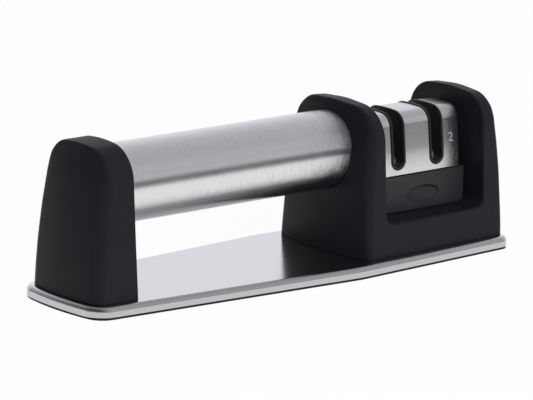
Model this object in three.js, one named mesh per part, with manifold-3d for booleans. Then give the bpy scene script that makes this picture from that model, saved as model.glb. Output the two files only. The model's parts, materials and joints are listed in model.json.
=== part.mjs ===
// A two-stage pull-through knife sharpener with a tube handle and a lift-out cartridge.
// Millimetres, +Z up, X along the handle, the user's side at -Y, origin under the middle of the base.
import * as THREE from "three";
import { mergeVertices } from "three/addons/utils/BufferGeometryUtils.js";
import Module from "manifold-3d";

const wasm = await Module();
wasm.setup();

// Fits and facets
const SEAT_GAP = 0.1; // between faces that rest on each other
const SLIP_GAP = 0.2; // beside pieces that drop into a pocket
const RUNNING_GAP = 0.15; // round the turning axles
const CUT_MARGIN = 5; // how far a cutting solid runs past what it cuts
const MERGE_TOLERANCE = 1e-4;
const EDGE_SHARE = 0.98; // most of an edge that its two corner arcs may take
const CORNER_SEGMENTS = 4;
const EDGE_SEGMENTS = 3;
const BOW_STEPS = 3;
const SWEEP_STEPS = 6;
const SCOOP_SEGMENTS = 20;
const ROUND_SEGMENTS = 24;
const TUBE_SEGMENTS = 40;

// Base: rubber pad, plastic tray and pressed steel cover
const BASE_LENGTH = 202.4;
const BASE_LEFT_HALF_WIDTH = 23.9;
const BASE_BEND_HALF_WIDTH = 32.2;
const BASE_RIGHT_HALF_WIDTH = 27.4;
const BASE_BEND_MARGIN = 4.5; // the widest place, left of the housing's foot
const BASE_END_BOW = 2.6;
const BASE_LEFT_CORNER_RADIUS = 7.5;
const BASE_RIGHT_CORNER_RADIUS = 4.4;
const BASE_BEND_RADIUS = 40;
const PAD_THICKNESS = 0.9;
const PAD_INSET = 0.5;
const COVER_HEIGHT = 3.9;
const COVER_SHEET = 0.7;
const COVER_EDGE_RADIUS = 2;

// Left post
const POST_END_MARGIN = 2.6; // bare plate left of the post
const POST_FOOT_LENGTH = 20.3;
const POST_OUTER_SWEEP = 6.8; // how far the face curves inwards up to its top
const POST_INNER_LEAN = 0.03; // run per unit of height
const POST_FOOT_HALF_WIDTH = 21;
const POST_SHOULDER_HALF_WIDTH = 18.3;
const POST_TOP_Z = 61.6;
const POST_FACE_BOW = 2.2;
const POST_OUTER_CORNER_RADIUS = 4.5;
const POST_INNER_CORNER_RADIUS = 1.2;
const POST_SHOULDER_RADIUS = 12.8;

// Cartridge housing: two cheeks and a U-shaped notch between them
const HOUSING_LENGTH = 75.7;
const HOUSING_END_MARGIN = 1.5; // bare plate right of the housing
const HOUSING_LEFT_SWEEP = 5.9;
const HOUSING_RIGHT_SWEEP = 5.8;
const HOUSING_LEFT_HALF_WIDTH = 27.2;
const HOUSING_RIGHT_HALF_WIDTH = 23.4;
const HOUSING_LEFT_SHOULDER_HALF_WIDTH = 23.2;
const HOUSING_RIGHT_SHOULDER_HALF_WIDTH = 21;
const HOUSING_LEFT_TOP_Z = 63.1;
const HOUSING_RIGHT_TOP_Z = 61.2;
const HOUSING_LEFT_BOW = 3;
const HOUSING_RIGHT_BOW = 1.4;
const HOUSING_LEFT_CORNER_RADIUS = 3.2;
const HOUSING_RIGHT_CORNER_RADIUS = 3;
const HOUSING_LEFT_SHOULDER_RADIUS = 14;
const HOUSING_RIGHT_SHOULDER_RADIUS = 11.5;
const NOTCH_MARGIN = 12.7; // from the housing's left foot to the notch
const NOTCH_LENGTH = 51.1;
const NOTCH_FLOOR_Z = 17.3;
const NOTCH_CORNER_RADIUS = 3.5;
const POCKET_DEPTH = 2; // locates the cartridge in the notch floor

// Shared by post and housing
const CROWN_RISE = 1.6; // from the shoulders to the top of an arch
const CROWN_RADIUS = 50;
const SHELL_WALL = 2.4;
const BOSS_RADIUS = 4.2;
const POST_BOSS_HEIGHT = 12;
const RIB_THICKNESS = 2;

// Handle tube
const TUBE_RADIUS = 15;
const TUBE_WALL = 0.8;
const TUBE_AXIS_Z = 43.7;
const SOCKET_DEPTH = 5;

// Self-tapping screws through the base
const BASE_SCREW_RADIUS = 1.5;
const BASE_SCREW_GRIP = 6.5; // thread inside a boss
const BASE_SCREW_HEAD_RADIUS = 2.9;
const BASE_SCREW_HEAD_HEIGHT = 1.8;
const POST_SCREW_SPACING = 22;
const HOUSING_SCREW_SPACING_X = 36;
const HOUSING_SCREW_SPACING_Y = 30;
const DRIVE_WIDTH = 0.8; // one bar of the cross recess
const DRIVE_REACH = 0.62; // share of the head radius that the cross takes
const DRIVE_DEPTH = 1;

// Cartridge
const CARTRIDGE_LENGTH = 50.3;
const CARTRIDGE_BODY_HALF_DEPTH = 12.3;
const CARTRIDGE_CORNER_RADIUS = 1.2;
const POCKET_CORNER_RADIUS = 2.5;
const SHADOW_GAP = 0.4; // open joint below the cap and below the body
const CARTRIDGE_LEDGE_Z = 31.5; // the cover stands on this ledge
const FLOOR_PLATE_LENGTH = 40;
const FLOOR_PLATE_HALF_DEPTH = 10;
const CAP_LENGTH = 44.2; // steel cover of the cartridge
const CAP_SHEET = 0.6;
const CAP_FOOT_HALF_DEPTH = 12;
const CAP_SHOULDER_HALF_DEPTH = 9.9;
const CAP_TOP_Z = 56;
const CAP_CROWN_RISE = 0.7;
const CAP_CROWN_RADIUS = 60;
const CAP_SHOULDER_RADIUS = 5.5;
const SCOOP_X = 3.65; // from the middle of the cartridge, towards the fine slot
const SCOOP_HALF_LENGTH = 8.2; // thumb scoop, front and back
const SCOOP_HALF_HEIGHT = 3.6;
const SCOOP_DEPTH = 1.6;
const SCOOP_Z = 23.5;

// Knife slots and their liners
const SLOT_PITCH = 19.4;
const SLOT_PAIR_OFFSET = 0.95; // the slots lie right of the cartridge's middle
const SLOT_WIDTH = 4.9;
const LINER_WALL = 1.1;
const LINER_PROUD = 0.4; // beyond the steel cover
const SLOT_BOTTOM_Z = 35.2;

// Sharpening wheels, a conical pair on each axle
const AXLE_RADIUS = 2;
const AXLE_LENGTH = 16;
const WHEEL_RADIUS = 8.5;
const WHEEL_ROOT_RADIUS = 4.5; // where the V between the wheels closes
const WHEEL_THICKNESS = 4.2;
const WHEEL_BEVEL_DEG = 20; // sharpening angle on each side of the blade
const WHEEL_EDGE_BREAK = 0.4;
const EDGE_DROP = 1.4; // V root above the slot's bottom
const SPACER_RADIUS = 3.6;
const SPACER_THICKNESS = 1.4;
const CHAMBER_GAP = 0.5; // round the wheels
const KEEPER_THICKNESS = 1.6;

// Screws under the cartridge
const FLOOR_SCREW_RADIUS = 1.1;
const FLOOR_SCREW_GRIP = 6;
const FLOOR_SCREW_HEAD_RADIUS = 2.1;
const FLOOR_SCREW_HEAD_HEIGHT = 1.2;
const FLOOR_SCREW_SPACING = 11;

// Inward run of an end face at height z: upright at the foot, curving more towards the top.
function sweep(total, z, topZ) {
  const share = Math.max(z - footZ, 0) / (topZ - footZ);
  return total * share * share;
}

// Heights and places that follow from the sizes above
const rimZ = PAD_THICKNESS + SEAT_GAP;
const plateTop = rimZ + COVER_HEIGHT;
const footZ = plateTop + SEAT_GAP;
const postOuterX = -BASE_LENGTH / 2 + POST_END_MARGIN;
const postInnerX = postOuterX + POST_FOOT_LENGTH;
const housingRightX = BASE_LENGTH / 2 - HOUSING_END_MARGIN;
const housingLeftX = housingRightX - HOUSING_LENGTH;
const baseBendX = housingLeftX - BASE_BEND_MARGIN;
const notchLeftX = housingLeftX + NOTCH_MARGIN;
const notchRightX = notchLeftX + NOTCH_LENGTH;
const cartridgeX = notchLeftX + NOTCH_LENGTH / 2;
const slotMiddleX = cartridgeX + SLOT_PAIR_OFFSET;
const slotXs = { coarse: slotMiddleX - SLOT_PITCH / 2, fine: slotMiddleX + SLOT_PITCH / 2 };
const pocketFloorZ = NOTCH_FLOOR_Z - POCKET_DEPTH;
const shelfUnderZ = pocketFloorZ - SHELL_WALL;
const bodyBottomZ = NOTCH_FLOOR_Z + SHADOW_GAP;
const floorPlateBottomZ = pocketFloorZ + SEAT_GAP;
const axleZ = SLOT_BOTTOM_Z + EDGE_DROP - WHEEL_ROOT_RADIUS;
const chamberHalfLength = WHEEL_THICKNESS + SPACER_THICKNESS + 3 * SEAT_GAP;
const linerHalfWidth = SLOT_WIDTH / 2 + LINER_WALL;
const postTubeX = postInnerX - POST_INNER_LEAN * (TUBE_AXIS_Z - footZ);
const housingTubeX =
  housingLeftX + sweep(HOUSING_LEFT_SWEEP, TUBE_AXIS_Z, HOUSING_LEFT_TOP_Z);
const tubeLeftX = postTubeX - SOCKET_DEPTH;
const tubeRightX = housingTubeX + SOCKET_DEPTH;

// Finishes
const finish = (color, roughness, metalness = 0) =>
  new THREE.MeshStandardMaterial({ color, roughness, metalness });
const softTouchBlack = finish(0x26272b, 0.6);
const cartridgeBlack = finish(0x303136, 0.5);
const linerBlack = finish(0x151517, 0.35);
const innerPlastic = finish(0x1c1c1f, 0.7);
const rubber = finish(0x121212, 0.9);
const brushedSteel = finish(0xc9c9cc, 0.32, 1);
const screwSteel = finish(0x9a9a9e, 0.4, 1);
const diamondSteel = finish(0x8d8f93, 0.75, 0.6);
const ceramicDark = finish(0x6a6865, 0.6);
const nylon = finish(0xd8d5cc, 0.6);

// Outlines
const point = (x, y) => new THREE.Vector2(x, y);

// Rounds each corner of a polygon with its own radius; a radius of 0 keeps the corner sharp.
// Radii whose arcs would meet on an edge are reduced until they fit on it.
function filletPolygon(corners, radii) {
  const count = corners.length;
  const bends = corners.map((corner, i) => {
    const toBefore = corners.at(i - 1).clone().sub(corner);
    const toAfter = corners[(i + 1) % count].clone().sub(corner);
    const edge = toAfter.length();
    toBefore.normalize();
    toAfter.normalize();
    const halfAngle = Math.acos(toBefore.dot(toAfter)) / 2;
    return { corner, toBefore, toAfter, halfAngle, edge, reach: radii[i] / Math.tan(halfAngle) };
  });
  const room = (a, b) => (a.edge * EDGE_SHARE) / Math.max(a.reach + b.reach, MERGE_TOLERANCE);
  return bends.flatMap((bend, i) => {
    if (!radii[i]) return [bend.corner.clone()];
    const squeeze = Math.min(1, room(bend, bends[(i + 1) % count]), room(bends.at(i - 1), bend));
    return cornerArc(bend, radii[i] * squeeze, bend.reach * squeeze);
  });
}

function cornerArc({ corner, toBefore, toAfter, halfAngle }, radius, reach) {
  const bisector = toBefore.clone().add(toAfter).normalize();
  const centre = corner.clone().addScaledVector(bisector, radius / Math.sin(halfAngle));
  const from = corner.clone().addScaledVector(toBefore, reach).sub(centre).angle();
  const to = corner.clone().addScaledVector(toAfter, reach).sub(centre).angle();
  const turn = Math.atan2(Math.sin(to - from), Math.cos(to - from));
  return Array.from({ length: CORNER_SEGMENTS + 1 }, (_, k) => {
    const angle = from + (turn * k) / CORNER_SEGMENTS;
    return point(centre.x + radius * Math.cos(angle), centre.y + radius * Math.sin(angle));
  });
}

// Moves each edge of a counter-clockwise convex polygon inwards by its own distance.
function insetPolygon(corners, distances) {
  const lines = corners.map((corner, i) => {
    const along = corners[(i + 1) % corners.length].clone().sub(corner).normalize();
    const inward = point(-along.y, along.x);
    return { start: corner.clone().addScaledVector(inward, distances[i]), along };
  });
  return lines.map((line, i) => {
    const before = lines.at(i - 1);
    const offset = line.start.clone().sub(before.start);
    const t = offset.cross(line.along) / before.along.cross(line.along);
    return before.start.clone().addScaledVector(before.along, t);
  });
}

const LEAST_RADIUS = 0.05;
const shrinkRadii = (radii, inset) => radii.map((r) => (r ? Math.max(r - inset, LEAST_RADIUS) : 0));

// A bowed end, listed upwards in y: its middle at x, its corners drawn back by the bow.
function bowedEnd(x, bow, half, cornerRadius) {
  const corners = [];
  const radii = [];
  for (let k = -BOW_STEPS; k <= BOW_STEPS; k++) {
    const share = k / BOW_STEPS;
    corners.push(point(x - bow * share * share, half * share));
    radii.push(Math.abs(k) === BOW_STEPS ? cornerRadius : 0);
  }
  return { corners, radii };
}

// A counter-clockwise plan from its right and left ends, with extra corners along the sides.
function planOutline(right, left, side, inset) {
  const corners = [...right.corners];
  const radii = [...right.radii];
  if (side) {
    corners.push(point(side.x, side.half));
    radii.push(side.radius);
  }
  corners.push(...left.corners.toReversed());
  radii.push(...left.radii.toReversed());
  if (side) {
    corners.push(point(side.x, -side.half));
    radii.push(side.radius);
  }
  return filletPolygon(insetPolygon(corners, corners.map(() => inset)), shrinkRadii(radii, inset));
}

function baseOutline(inset) {
  const end = BASE_LENGTH / 2;
  const right = bowedEnd(end, BASE_END_BOW, BASE_RIGHT_HALF_WIDTH, BASE_RIGHT_CORNER_RADIUS);
  const left = bowedEnd(-end, -BASE_END_BOW, BASE_LEFT_HALF_WIDTH, BASE_LEFT_CORNER_RADIUS);
  const side = { x: baseBendX, half: BASE_BEND_HALF_WIDTH, radius: BASE_BEND_RADIUS };
  return planOutline(right, left, side, inset);
}

// A closed arch in (y, z): straight leaning sides, round shoulders and a slightly crowned top.
function archOutline({ foot, shoulder, bottom, top, rise, shoulderRadius, crownRadius, inset = 0 }) {
  const corners = [
    point(-foot, bottom),
    point(foot, bottom),
    point(shoulder, top - rise),
    point(0, top),
    point(-shoulder, top - rise),
  ];
  const moved = insetPolygon(corners, [0, inset, inset, inset, inset]);
  return filletPolygon(moved, shrinkRadii([0, 0, shoulderRadius, crownRadius, shoulderRadius], inset));
}

function rectangle(x0, x1, y0, y1, radii) {
  return filletPolygon([point(x0, y0), point(x1, y0), point(x1, y1), point(x0, y1)], radii);
}

// Solids
function solidFromArrays(vertProperties, triVerts) {
  const made = new wasm.Manifold(new wasm.Mesh({ numProp: 3, vertProperties, triVerts }));
  if (made.volume() >= 0) return made;
  return solidFromArrays(vertProperties, triVerts.slice().reverse());
}

function solidFrom(geometry) {
  const bare = geometry.index ? geometry.toNonIndexed() : geometry.clone();
  bare.deleteAttribute("normal");
  bare.deleteAttribute("uv");
  const merged = mergeVertices(bare, MERGE_TOLERANCE);
  const index = Array.from(merged.index.array);
  const kept = [];
  for (let i = 0; i < index.length; i += 3) {
    const [a, b, c] = index.slice(i, i + 3);
    if (a !== b && b !== c && c !== a) kept.push(a, b, c);
  }
  return solidFromArrays(new Float32Array(merged.attributes.position.array), new Uint32Array(kept));
}

function geometryFrom(solid) {
  const mesh = solid.getMesh();
  const geometry = new THREE.BufferGeometry();
  geometry.setAttribute("position", new THREE.BufferAttribute(mesh.vertProperties, 3));
  geometry.setIndex(new THREE.BufferAttribute(mesh.triVerts, 1));
  geometry.computeVertexNormals();
  return geometry;
}

const X = new THREE.Vector3(1, 0, 0);
const Y = new THREE.Vector3(0, 1, 0);
const Z = new THREE.Vector3(0, 0, 1);

function extrusion(outline, depth, basis, start) {
  const geometry = new THREE.ExtrudeGeometry(new THREE.Shape(outline), { depth, bevelEnabled: false });
  return solidFrom(geometry.applyMatrix4(new THREE.Matrix4().makeBasis(...basis).setPosition(start)));
}

const prismZ = (outline, z0, z1) => extrusion(outline, z1 - z0, [X, Y, Z], new THREE.Vector3(0, 0, z0));
const prismX = (outline, x0, x1) => extrusion(outline, x1 - x0, [Y, Z, X], new THREE.Vector3(x0, 0, 0));
const prismY = (outline, y0, y1) =>
  extrusion(outline, y1 - y0, [X, Z, Y.clone().negate()], new THREE.Vector3(0, y1, 0));

function box(x0, x1, y0, y1, z0, z1) {
  const geometry = new THREE.BoxGeometry(x1 - x0, y1 - y0, z1 - z0);
  return solidFrom(geometry.translate((x0 + x1) / 2, (y0 + y1) / 2, (z0 + z1) / 2));
}

function cylinderZ(radius, x, y, z0, z1, segments = ROUND_SEGMENTS) {
  const geometry = new THREE.CylinderGeometry(radius, radius, z1 - z0, segments);
  return solidFrom(geometry.rotateX(Math.PI / 2).translate(x, y, (z0 + z1) / 2));
}

function cylinderX(radius, x0, x1, z, segments = ROUND_SEGMENTS) {
  const geometry = new THREE.CylinderGeometry(radius, radius, x1 - x0, segments);
  return solidFrom(geometry.rotateZ(-Math.PI / 2).translate((x0 + x1) / 2, 0, z));
}

// Skins over convex rings with equal point counts, closed by a fan at each end.
function loft(rings) {
  const count = rings[0].length;
  const vertices = rings.flat().flatMap((p) => [p.x, p.y, p.z]);
  const triangles = [];
  for (let ring = 0; ring + 1 < rings.length; ring++) {
    for (let i = 0; i < count; i++) {
      const a = ring * count + i;
      const b = ring * count + ((i + 1) % count);
      triangles.push(a, b, b + count, a, b + count, a + count);
    }
  }
  const last = (rings.length - 1) * count;
  for (let i = 1; i + 1 < count; i++) {
    triangles.push(0, i + 1, i, last, last + i, last + i + 1);
  }
  return solidFromArrays(new Float32Array(vertices), new Uint32Array(triangles));
}

const ringZ = (outline, z) => outline.map((p) => new THREE.Vector3(p.x, p.y, z));
const ringX = (outline, x) => outline.map((p) => new THREE.Vector3(x, p.x, p.y));
const unite = (solids) => solids.reduce((all, one) => all.add(one));
const cutAll = (solid, cutters) => cutters.reduce((left, one) => left.subtract(one), solid);

// Screws
const screwPlaces = [
  ["post_screw_front", (postOuterX + postInnerX) / 2, -POST_SCREW_SPACING / 2],
  ["post_screw_back", (postOuterX + postInnerX) / 2, POST_SCREW_SPACING / 2],
];
for (const [end, side] of [["left", -1], ["right", 1]]) {
  const x = cartridgeX + (side * HOUSING_SCREW_SPACING_X) / 2;
  screwPlaces.push([`housing_screw_front_${end}`, x, -HOUSING_SCREW_SPACING_Y / 2]);
  screwPlaces.push([`housing_screw_back_${end}`, x, HOUSING_SCREW_SPACING_Y / 2]);
}
const postScrews = screwPlaces.filter(([name]) => name.startsWith("post"));
const housingScrews = screwPlaces.filter(([name]) => name.startsWith("housing"));
const webTopZ = plateTop - COVER_SHEET - SEAT_GAP;
const screwSeatZ = (rimZ + webTopZ) / 2 + SLIP_GAP;
const screwTipZ = footZ + BASE_SCREW_GRIP;

// A pan-head screw that points up, its head below the seat, with a cross recess.
function panScrew(radius, headRadius, headHeight, seatZ, tipZ) {
  const seat = seatZ - SEAT_GAP;
  const headZ = seat - headHeight;
  const profile = [
    point(0, headZ),
    point(headRadius * 0.7, headZ),
    point(headRadius, headZ + headHeight * 0.5),
    point(headRadius, seat),
    point(radius, seat),
    point(radius, tipZ - radius),
    point(0, tipZ),
  ];
  const turned = solidFrom(new THREE.LatheGeometry(profile, ROUND_SEGMENTS / 2).rotateX(Math.PI / 2));
  const reach = headRadius * DRIVE_REACH;
  const bar = DRIVE_WIDTH / 2;
  const depth = Math.min(DRIVE_DEPTH, headHeight * 0.7);
  const low = headZ - CUT_MARGIN;
  const cross = box(-reach, reach, -bar, bar, low, headZ + depth).add(
    box(-bar, bar, -reach, reach, low, headZ + depth),
  );
  return turned.subtract(cross);
}

const shankHoles = (places, radius, z0, z1) =>
  places.map(([, x, y]) => cylinderZ(radius + SEAT_GAP, x, y, z0, z1, ROUND_SEGMENTS / 2));

// Base pieces
// An upside-down dish: straight rim with a rounded upper edge.
function dish(inset, bottomZ, topZ, edgeRadius) {
  const rings = [ringZ(baseOutline(inset), bottomZ)];
  for (let k = 0; k <= EDGE_SEGMENTS; k++) {
    const angle = (k / EDGE_SEGMENTS) * (Math.PI / 2);
    const drawnIn = inset + edgeRadius * (1 - Math.cos(angle));
    rings.push(ringZ(baseOutline(drawnIn), topZ - edgeRadius * (1 - Math.sin(angle))));
  }
  return loft(rings);
}

function makeBasePad() {
  const pad = prismZ(baseOutline(PAD_INSET), 0, PAD_THICKNESS);
  const headRoom = BASE_SCREW_HEAD_RADIUS + 2 * SLIP_GAP;
  const holes = screwPlaces.map(([, x, y]) => cylinderZ(headRoom, x, y, -CUT_MARGIN, CUT_MARGIN));
  return cutAll(pad, holes);
}

function makeBaseTray() {
  const inset = COVER_SHEET + SLIP_GAP;
  const tray = dish(inset, rimZ, webTopZ, COVER_EDGE_RADIUS - inset);
  const headRoom = BASE_SCREW_HEAD_RADIUS + SLIP_GAP;
  const recesses = screwPlaces.map(([, x, y]) => cylinderZ(headRoom, x, y, -CUT_MARGIN, screwSeatZ));
  return cutAll(tray, [...recesses, ...shankHoles(screwPlaces, BASE_SCREW_RADIUS, 0, webTopZ + CUT_MARGIN)]);
}

function makeBaseCover() {
  const outside = dish(0, rimZ, plateTop, COVER_EDGE_RADIUS);
  const innerTop = plateTop - COVER_SHEET;
  const inside = dish(COVER_SHEET, rimZ - CUT_MARGIN, innerTop, COVER_EDGE_RADIUS - COVER_SHEET);
  const holes = shankHoles(screwPlaces, BASE_SCREW_RADIUS, 0, plateTop + CUT_MARGIN);
  return cutAll(outside.subtract(inside), holes);
}

// A body from plans at rising heights; below the foot it goes straight down.
function sweptBody(plan, bottomZ, topZ) {
  const rings = bottomZ < footZ ? [ringZ(plan(footZ), bottomZ)] : [];
  for (let k = 0; k <= SWEEP_STEPS; k++) {
    const z = footZ + ((topZ - footZ) * k) / SWEEP_STEPS;
    rings.push(ringZ(plan(z), z));
  }
  return loft(rings);
}

// Left post
function postShape(inset, bottom) {
  const shoulderZ = POST_TOP_Z - CROWN_RISE;
  const sideLean = (POST_FOOT_HALF_WIDTH - POST_SHOULDER_HALF_WIDTH) / (shoulderZ - footZ);
  const plan = (z) => {
    const half = POST_FOOT_HALF_WIDTH - sideLean * (z - footZ);
    const outer = postOuterX + sweep(POST_OUTER_SWEEP, z, POST_TOP_Z);
    const inner = postInnerX - POST_INNER_LEAN * (z - footZ);
    const left = bowedEnd(outer, -POST_FACE_BOW, half, POST_OUTER_CORNER_RADIUS);
    const i = POST_INNER_CORNER_RADIUS;
    const right = { corners: [point(inner, -half), point(inner, half)], radii: [i, i] };
    return planOutline(right, left, null, inset);
  };
  const arch = archOutline({
    foot: POST_FOOT_HALF_WIDTH + CUT_MARGIN * sideLean,
    shoulder: POST_SHOULDER_HALF_WIDTH,
    bottom: footZ - CUT_MARGIN,
    top: POST_TOP_Z,
    rise: CROWN_RISE,
    shoulderRadius: POST_SHOULDER_RADIUS,
    crownRadius: CROWN_RADIUS,
    inset,
  });
  return sweptBody(plan, bottom, POST_TOP_Z).intersect(prismX(arch, -BASE_LENGTH, 0));
}

const socketBoss = (x0, x1) =>
  cylinderX(TUBE_RADIUS + SLIP_GAP + SHELL_WALL, x0, x1, TUBE_AXIS_Z, TUBE_SEGMENTS);
const socketHole = (x0, x1) => cylinderX(TUBE_RADIUS + SLIP_GAP, x0, x1, TUBE_AXIS_Z, TUBE_SEGMENTS);

function makeLeftPost() {
  const bossTop = footZ + POST_BOSS_HEIGHT;
  const bosses = postScrews.map(([, x, y]) => cylinderZ(BOSS_RADIUS, x, y, 0, bossTop));
  const ribs = postScrews.map(([, x, y]) =>
    box(x - POST_FOOT_LENGTH, x + POST_FOOT_LENGTH, y - RIB_THICKNESS / 2, y + RIB_THICKNESS / 2, 0, bossTop),
  );
  const socketEnd = tubeLeftX - SEAT_GAP;
  const hollow = cutAll(postShape(SHELL_WALL, footZ - CUT_MARGIN), [
    ...bosses,
    ...ribs,
    socketBoss(socketEnd - SHELL_WALL, 0),
  ]);
  return cutAll(postShape(0, footZ), [
    hollow,
    socketHole(socketEnd, 0),
    ...shankHoles(postScrews, BASE_SCREW_RADIUS, 0, screwTipZ + SEAT_GAP),
  ]);
}

// Cartridge housing
const housingShare = (x) => (x - housingLeftX) / (housingRightX - housingLeftX);
const housingSize = (left, right, x) => THREE.MathUtils.lerp(left, right, housingShare(x));

// Half-widths at the foot and at the shoulders, and the arch's top, at a place along the housing.
function housingArch(x) {
  const top = housingSize(HOUSING_LEFT_TOP_Z, HOUSING_RIGHT_TOP_Z, x);
  const foot = housingSize(HOUSING_LEFT_HALF_WIDTH, HOUSING_RIGHT_HALF_WIDTH, x);
  const shoulder = housingSize(HOUSING_LEFT_SHOULDER_HALF_WIDTH, HOUSING_RIGHT_SHOULDER_HALF_WIDTH, x);
  return { top, foot, shoulder, sideLean: (foot - shoulder) / (top - CROWN_RISE - footZ) };
}

function housingShape(inset, bottom) {
  const halfAt = (x, z) => {
    const { foot, sideLean } = housingArch(x);
    return foot - sideLean * (z - footZ);
  };
  const plan = (z) => {
    const leftX = housingLeftX + sweep(HOUSING_LEFT_SWEEP, z, HOUSING_LEFT_TOP_Z);
    const rightX = housingRightX - sweep(HOUSING_RIGHT_SWEEP, z, HOUSING_LEFT_TOP_Z);
    const left = bowedEnd(leftX, -HOUSING_LEFT_BOW, halfAt(leftX, z), HOUSING_LEFT_CORNER_RADIUS);
    const right = bowedEnd(rightX, HOUSING_RIGHT_BOW, halfAt(rightX, z), HOUSING_RIGHT_CORNER_RADIUS);
    return planOutline(right, left, null, inset);
  };
  const arch = (x) => {
    const { top, foot, shoulder, sideLean } = housingArch(x);
    const outline = archOutline({
      foot: foot + sideLean * CUT_MARGIN,
      shoulder,
      bottom: footZ - CUT_MARGIN,
      top,
      rise: CROWN_RISE,
      shoulderRadius: housingSize(HOUSING_LEFT_SHOULDER_RADIUS, HOUSING_RIGHT_SHOULDER_RADIUS, x),
      crownRadius: CROWN_RADIUS,
      inset,
    });
    return ringX(outline, x);
  };
  const sides = loft([arch(housingLeftX - CUT_MARGIN), arch(housingRightX + CUT_MARGIN)]);
  return sweptBody(plan, bottom, HOUSING_LEFT_TOP_Z).intersect(sides);
}

// The U-shaped notch, grown by a wall where it is used to keep the hollow away from it.
function notchCut(wall, floorZ) {
  const radius = NOTCH_CORNER_RADIUS + wall;
  const radii = [radius, radius, 0, 0];
  const outline = rectangle(notchLeftX - wall, notchRightX + wall, floorZ, HOUSING_LEFT_TOP_Z * 2, radii);
  return prismY(outline, -BASE_LENGTH, BASE_LENGTH);
}

const pocketOutline = (gap) => {
  const halfLength = FLOOR_PLATE_LENGTH / 2 + gap;
  const halfDepth = FLOOR_PLATE_HALF_DEPTH + gap;
  const r = POCKET_CORNER_RADIUS;
  return rectangle(cartridgeX - halfLength, cartridgeX + halfLength, -halfDepth, halfDepth, [r, r, r, r]);
};

function makeHousing() {
  const socketEnd = tubeRightX + SEAT_GAP;
  const bosses = housingScrews.map(([, x, y]) => cylinderZ(BOSS_RADIUS, x, y, 0, NOTCH_FLOOR_Z));
  const hollow = cutAll(housingShape(SHELL_WALL, footZ - CUT_MARGIN), [
    notchCut(SHELL_WALL, shelfUnderZ),
    socketBoss(0, socketEnd + SHELL_WALL),
    ...bosses,
  ]);
  return cutAll(housingShape(0, footZ), [
    hollow,
    notchCut(0, NOTCH_FLOOR_Z),
    prismZ(pocketOutline(SLIP_GAP), pocketFloorZ, NOTCH_FLOOR_Z + CUT_MARGIN),
    socketHole(0, socketEnd),
    ...shankHoles(housingScrews, BASE_SCREW_RADIUS, 0, screwTipZ + SEAT_GAP),
  ]);
}

// Handle tube
function makeTube() {
  const outside = cylinderX(TUBE_RADIUS, tubeLeftX, tubeRightX, TUBE_AXIS_Z, TUBE_SEGMENTS);
  const bore = cylinderX(
    TUBE_RADIUS - TUBE_WALL,
    tubeLeftX - CUT_MARGIN,
    tubeRightX + CUT_MARGIN,
    TUBE_AXIS_Z,
    TUBE_SEGMENTS,
  );
  return outside.subtract(bore);
}

// Cartridge
const capOutline = (inset, bottom) => {
  const rise = CAP_TOP_Z - CAP_CROWN_RISE - CARTRIDGE_LEDGE_Z;
  const lean = (CAP_FOOT_HALF_DEPTH - CAP_SHOULDER_HALF_DEPTH) / rise;
  return archOutline({
    foot: CAP_FOOT_HALF_DEPTH + lean * (CARTRIDGE_LEDGE_Z - bottom),
    shoulder: CAP_SHOULDER_HALF_DEPTH,
    bottom,
    top: CAP_TOP_Z,
    rise: CAP_CROWN_RISE,
    shoulderRadius: CAP_SHOULDER_RADIUS,
    crownRadius: CAP_CROWN_RADIUS,
    inset,
  });
};

// A slot seen from the front: round bottom, open top.
function slotCut(x, halfWidth, bottomZ, halfDepth = BASE_LENGTH) {
  const top = CAP_TOP_Z + CUT_MARGIN;
  const outline = rectangle(x - halfWidth, x + halfWidth, bottomZ, top, [halfWidth, halfWidth, 0, 0]);
  return prismY(outline, -halfDepth, halfDepth);
}

// Room for the wheels: round above the axle and open below.
function chamberCut(x, bottomZ) {
  const radius = WHEEL_RADIUS + CHAMBER_GAP;
  const round = cylinderX(radius, x - chamberHalfLength, x + chamberHalfLength, axleZ);
  return round.add(box(x - chamberHalfLength, x + chamberHalfLength, -radius, radius, bottomZ, axleZ));
}

// The axle drops into this U-shaped saddle from below.
function saddleCut(x) {
  const half = AXLE_LENGTH / 2 + SLIP_GAP;
  const radius = AXLE_RADIUS + RUNNING_GAP;
  const round = cylinderX(radius, x - half, x + half, axleZ);
  return round.add(box(x - half, x + half, -radius, radius, bodyBottomZ - CUT_MARGIN, axleZ));
}

function scoopCut(side) {
  const scoop = new THREE.SphereGeometry(1, SCOOP_SEGMENTS, SCOOP_SEGMENTS / 2);
  scoop.scale(SCOOP_HALF_LENGTH, SCOOP_DEPTH, SCOOP_HALF_HEIGHT);
  return solidFrom(scoop.translate(cartridgeX + SCOOP_X, side * CARTRIDGE_BODY_HALF_DEPTH, SCOOP_Z));
}

const floorScrews = [
  ["floor_screw_front", slotMiddleX, -FLOOR_SCREW_SPACING / 2],
  ["floor_screw_back", slotMiddleX, FLOOR_SCREW_SPACING / 2],
];
const floorScrewSeatZ = floorPlateBottomZ + FLOOR_SCREW_HEAD_HEIGHT + SEAT_GAP;
const floorScrewTipZ = bodyBottomZ + FLOOR_SCREW_GRIP;

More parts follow.
